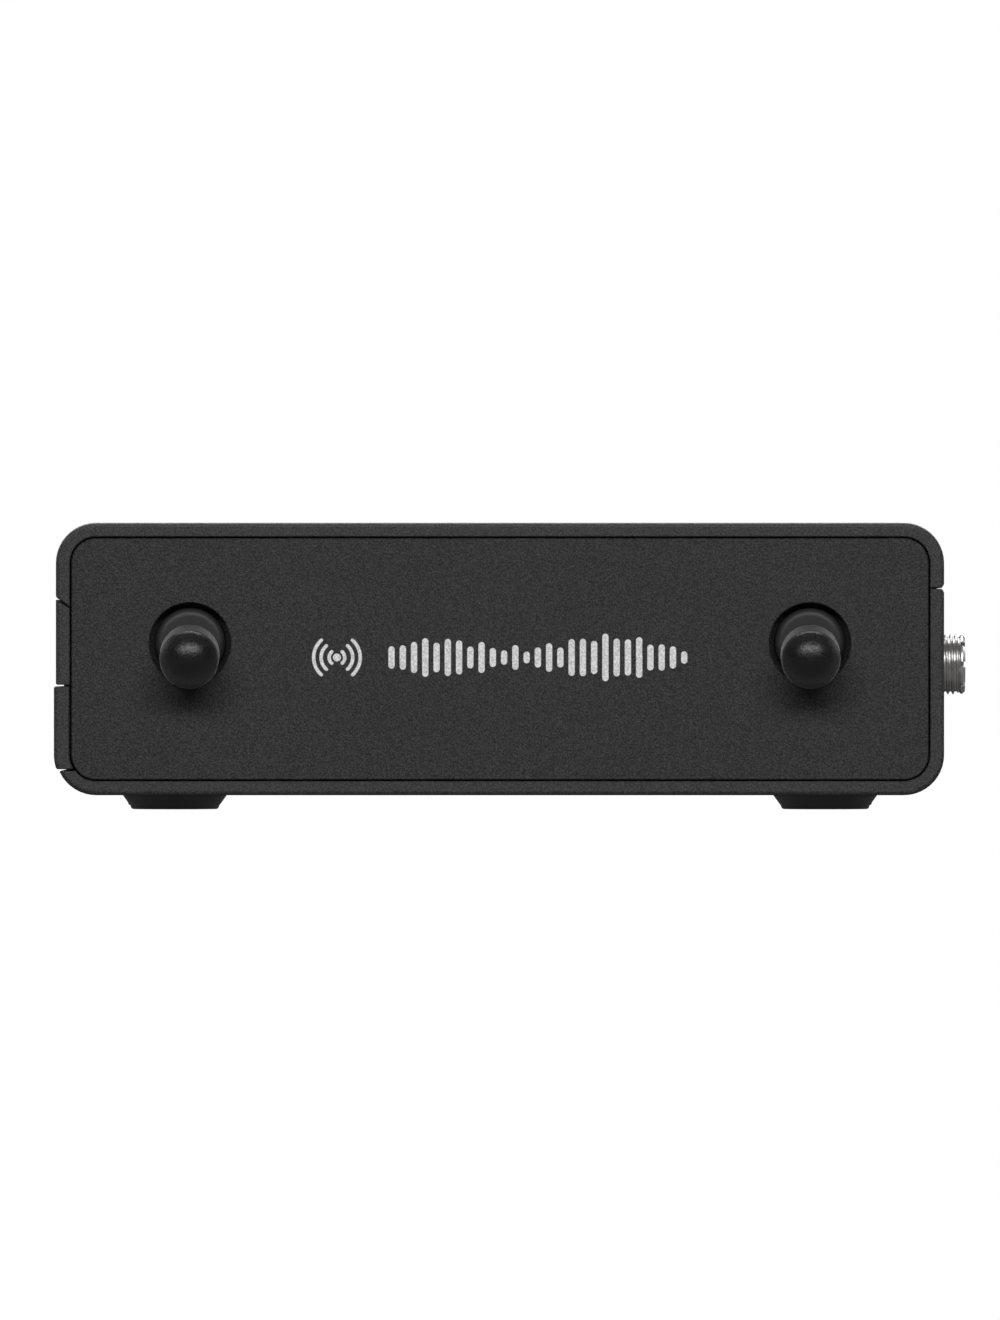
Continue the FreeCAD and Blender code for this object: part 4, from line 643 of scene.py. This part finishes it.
def build_stage():
    """A pale floor that melts into the white backdrop seen edge on, and glows dimly upwards."""
    tree = Tree("floor_finish")
    path = tree.add("ShaderNodeLightPath").outputs["Is Camera Ray"]
    geometry = tree.add("ShaderNodeNewGeometry").outputs
    facing = tree.add("ShaderNodeVectorMath", operation="DOT_PRODUCT")
    tree.feed(facing.inputs[0], geometry["Incoming"])
    tree.feed(facing.inputs[1], (0.0, 0.0, 1.0))
    steep = tree.remap(facing.outputs["Value"], 0.0, 0.55, 0.05, 0.2)
    speck = tree.remap(tree.noise(30 * MM, 2.0), 0.93, 0.97)
    white = tree.add("ShaderNodeEmission", {"Color": WHITE, "Strength": 1.0}).outputs[0]
    lit = tree.add("ShaderNodeBsdfDiffuse", {"Color": speck}).outputs[0]
    seen = tree.add("ShaderNodeMixShader", {0: steep, 1: white, 2: lit}).outputs[0]
    dull = tree.add("ShaderNodeEmission", {"Color": WHITE, "Strength": 0.16}).outputs[0]
    tree.done(tree.add("ShaderNodeMixShader", {0: path, 1: dull, 2: seen}).outputs[0])
    mesh = bmesh.new()
    bmesh.ops.create_grid(mesh, x_segments=4, y_segments=4, size=6.0)
    data = bpy.data.meshes.new("floor")
    mesh.to_mesh(data)
    mesh.free()
    data.materials.append(tree.material)
    floor = bpy.data.objects.new("floor", data)
    floor.location = (0, 0, cad_low.z - 0.02 * MM)
    bpy.context.scene.collection.objects.link(floor)


def build_world():
    """White to the camera; to everything else a dim room, a little brighter overhead."""
    world = bpy.data.worlds.new("studio")
    bpy.context.scene.world = world
    world.use_nodes = True
    nodes, links = world.node_tree.nodes, world.node_tree.links
    nodes.clear()
    output = nodes.new("ShaderNodeOutputWorld")
    mix = nodes.new("ShaderNodeMixShader")
    path = nodes.new("ShaderNodeLightPath")
    seen = nodes.new("ShaderNodeBackground")
    seen.inputs["Color"].default_value = WHITE
    room = nodes.new("ShaderNodeBackground")
    coords = nodes.new("ShaderNodeTexCoord")
    split = nodes.new("ShaderNodeSeparateXYZ")
    ramp = nodes.new("ShaderNodeMapRange")
    ramp.inputs["From Min"].default_value = 0.0
    ramp.inputs["From Max"].default_value = 1.0
    ramp.inputs["To Min"].default_value = 0.05
    ramp.inputs["To Max"].default_value = 0.09
    links.new(coords.outputs["Generated"], split.inputs[0])
    links.new(split.outputs["Z"], ramp.inputs["Value"])
    links.new(ramp.outputs["Result"], room.inputs["Strength"])
    links.new(path.outputs["Is Camera Ray"], mix.inputs[0])
    links.new(room.outputs[0], mix.inputs[1])
    links.new(seen.outputs[0], mix.inputs[2])
    links.new(mix.outputs[0], output.inputs[0])


def add_softbox(name, spot, aim, wide, tall, watts):
    light = bpy.data.lights.new(name, "AREA")
    light.shape = "RECTANGLE"
    light.size = wide
    light.size_y = tall
    light.energy = watts
    lamp = bpy.data.objects.new(name, light)
    lamp.location = spot
    direction = Vector(aim) - Vector(spot)
    lamp.rotation_euler = direction.to_track_quat("-Z", "Y").to_euler()
    bpy.context.scene.collection.objects.link(lamp)


def build_lights():
    """A strip above the camera, a broad box behind the top, and dim boxes for the two sides."""
    aim = (0, cad_low.y, AIM_Z)
    key_up = math.radians(KEY_ELEVATION)
    reach = 1.1
    add_softbox("key", (0, -reach * math.cos(key_up), AIM_Z + reach * math.sin(key_up)), aim,
                1.3, 0.30, 10)
    add_softbox("rear_top", (0, 0.75, 0.98), (0, 0, 0), 1.3, 0.8, 24)
    for side in (-1, 1):
        add_softbox("side_%d" % (side + 2), (side * 1.0, 0.5, 0.5), (0, 0, 0), 0.5, 0.7, 3)


def build_camera():
    data = bpy.data.cameras.new("camera")
    data.sensor_width = 36.0
    front_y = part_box("antenna_end_panel")[0].y
    data.lens = data.sensor_width * CAMERA_AWAY / FRAME_TALL
    data.clip_start = 0.05
    data.clip_end = 50
    camera = bpy.data.objects.new("camera", data)
    camera.location = (0, front_y - CAMERA_AWAY, AIM_Z)
    camera.rotation_euler = (math.radians(90), 0, 0)
    bpy.context.scene.collection.objects.link(camera)
    bpy.context.scene.camera = camera
    bpy.context.scene.view_settings.view_transform = "Standard"


# ------------------------------------------------------------------ build

paint_cad_nodes()
print_on_antenna_end()
draw_display()
draw_button_icons()
dress_battery()
populate_boards()
build_stage()
build_world()
build_lights()
build_camera()
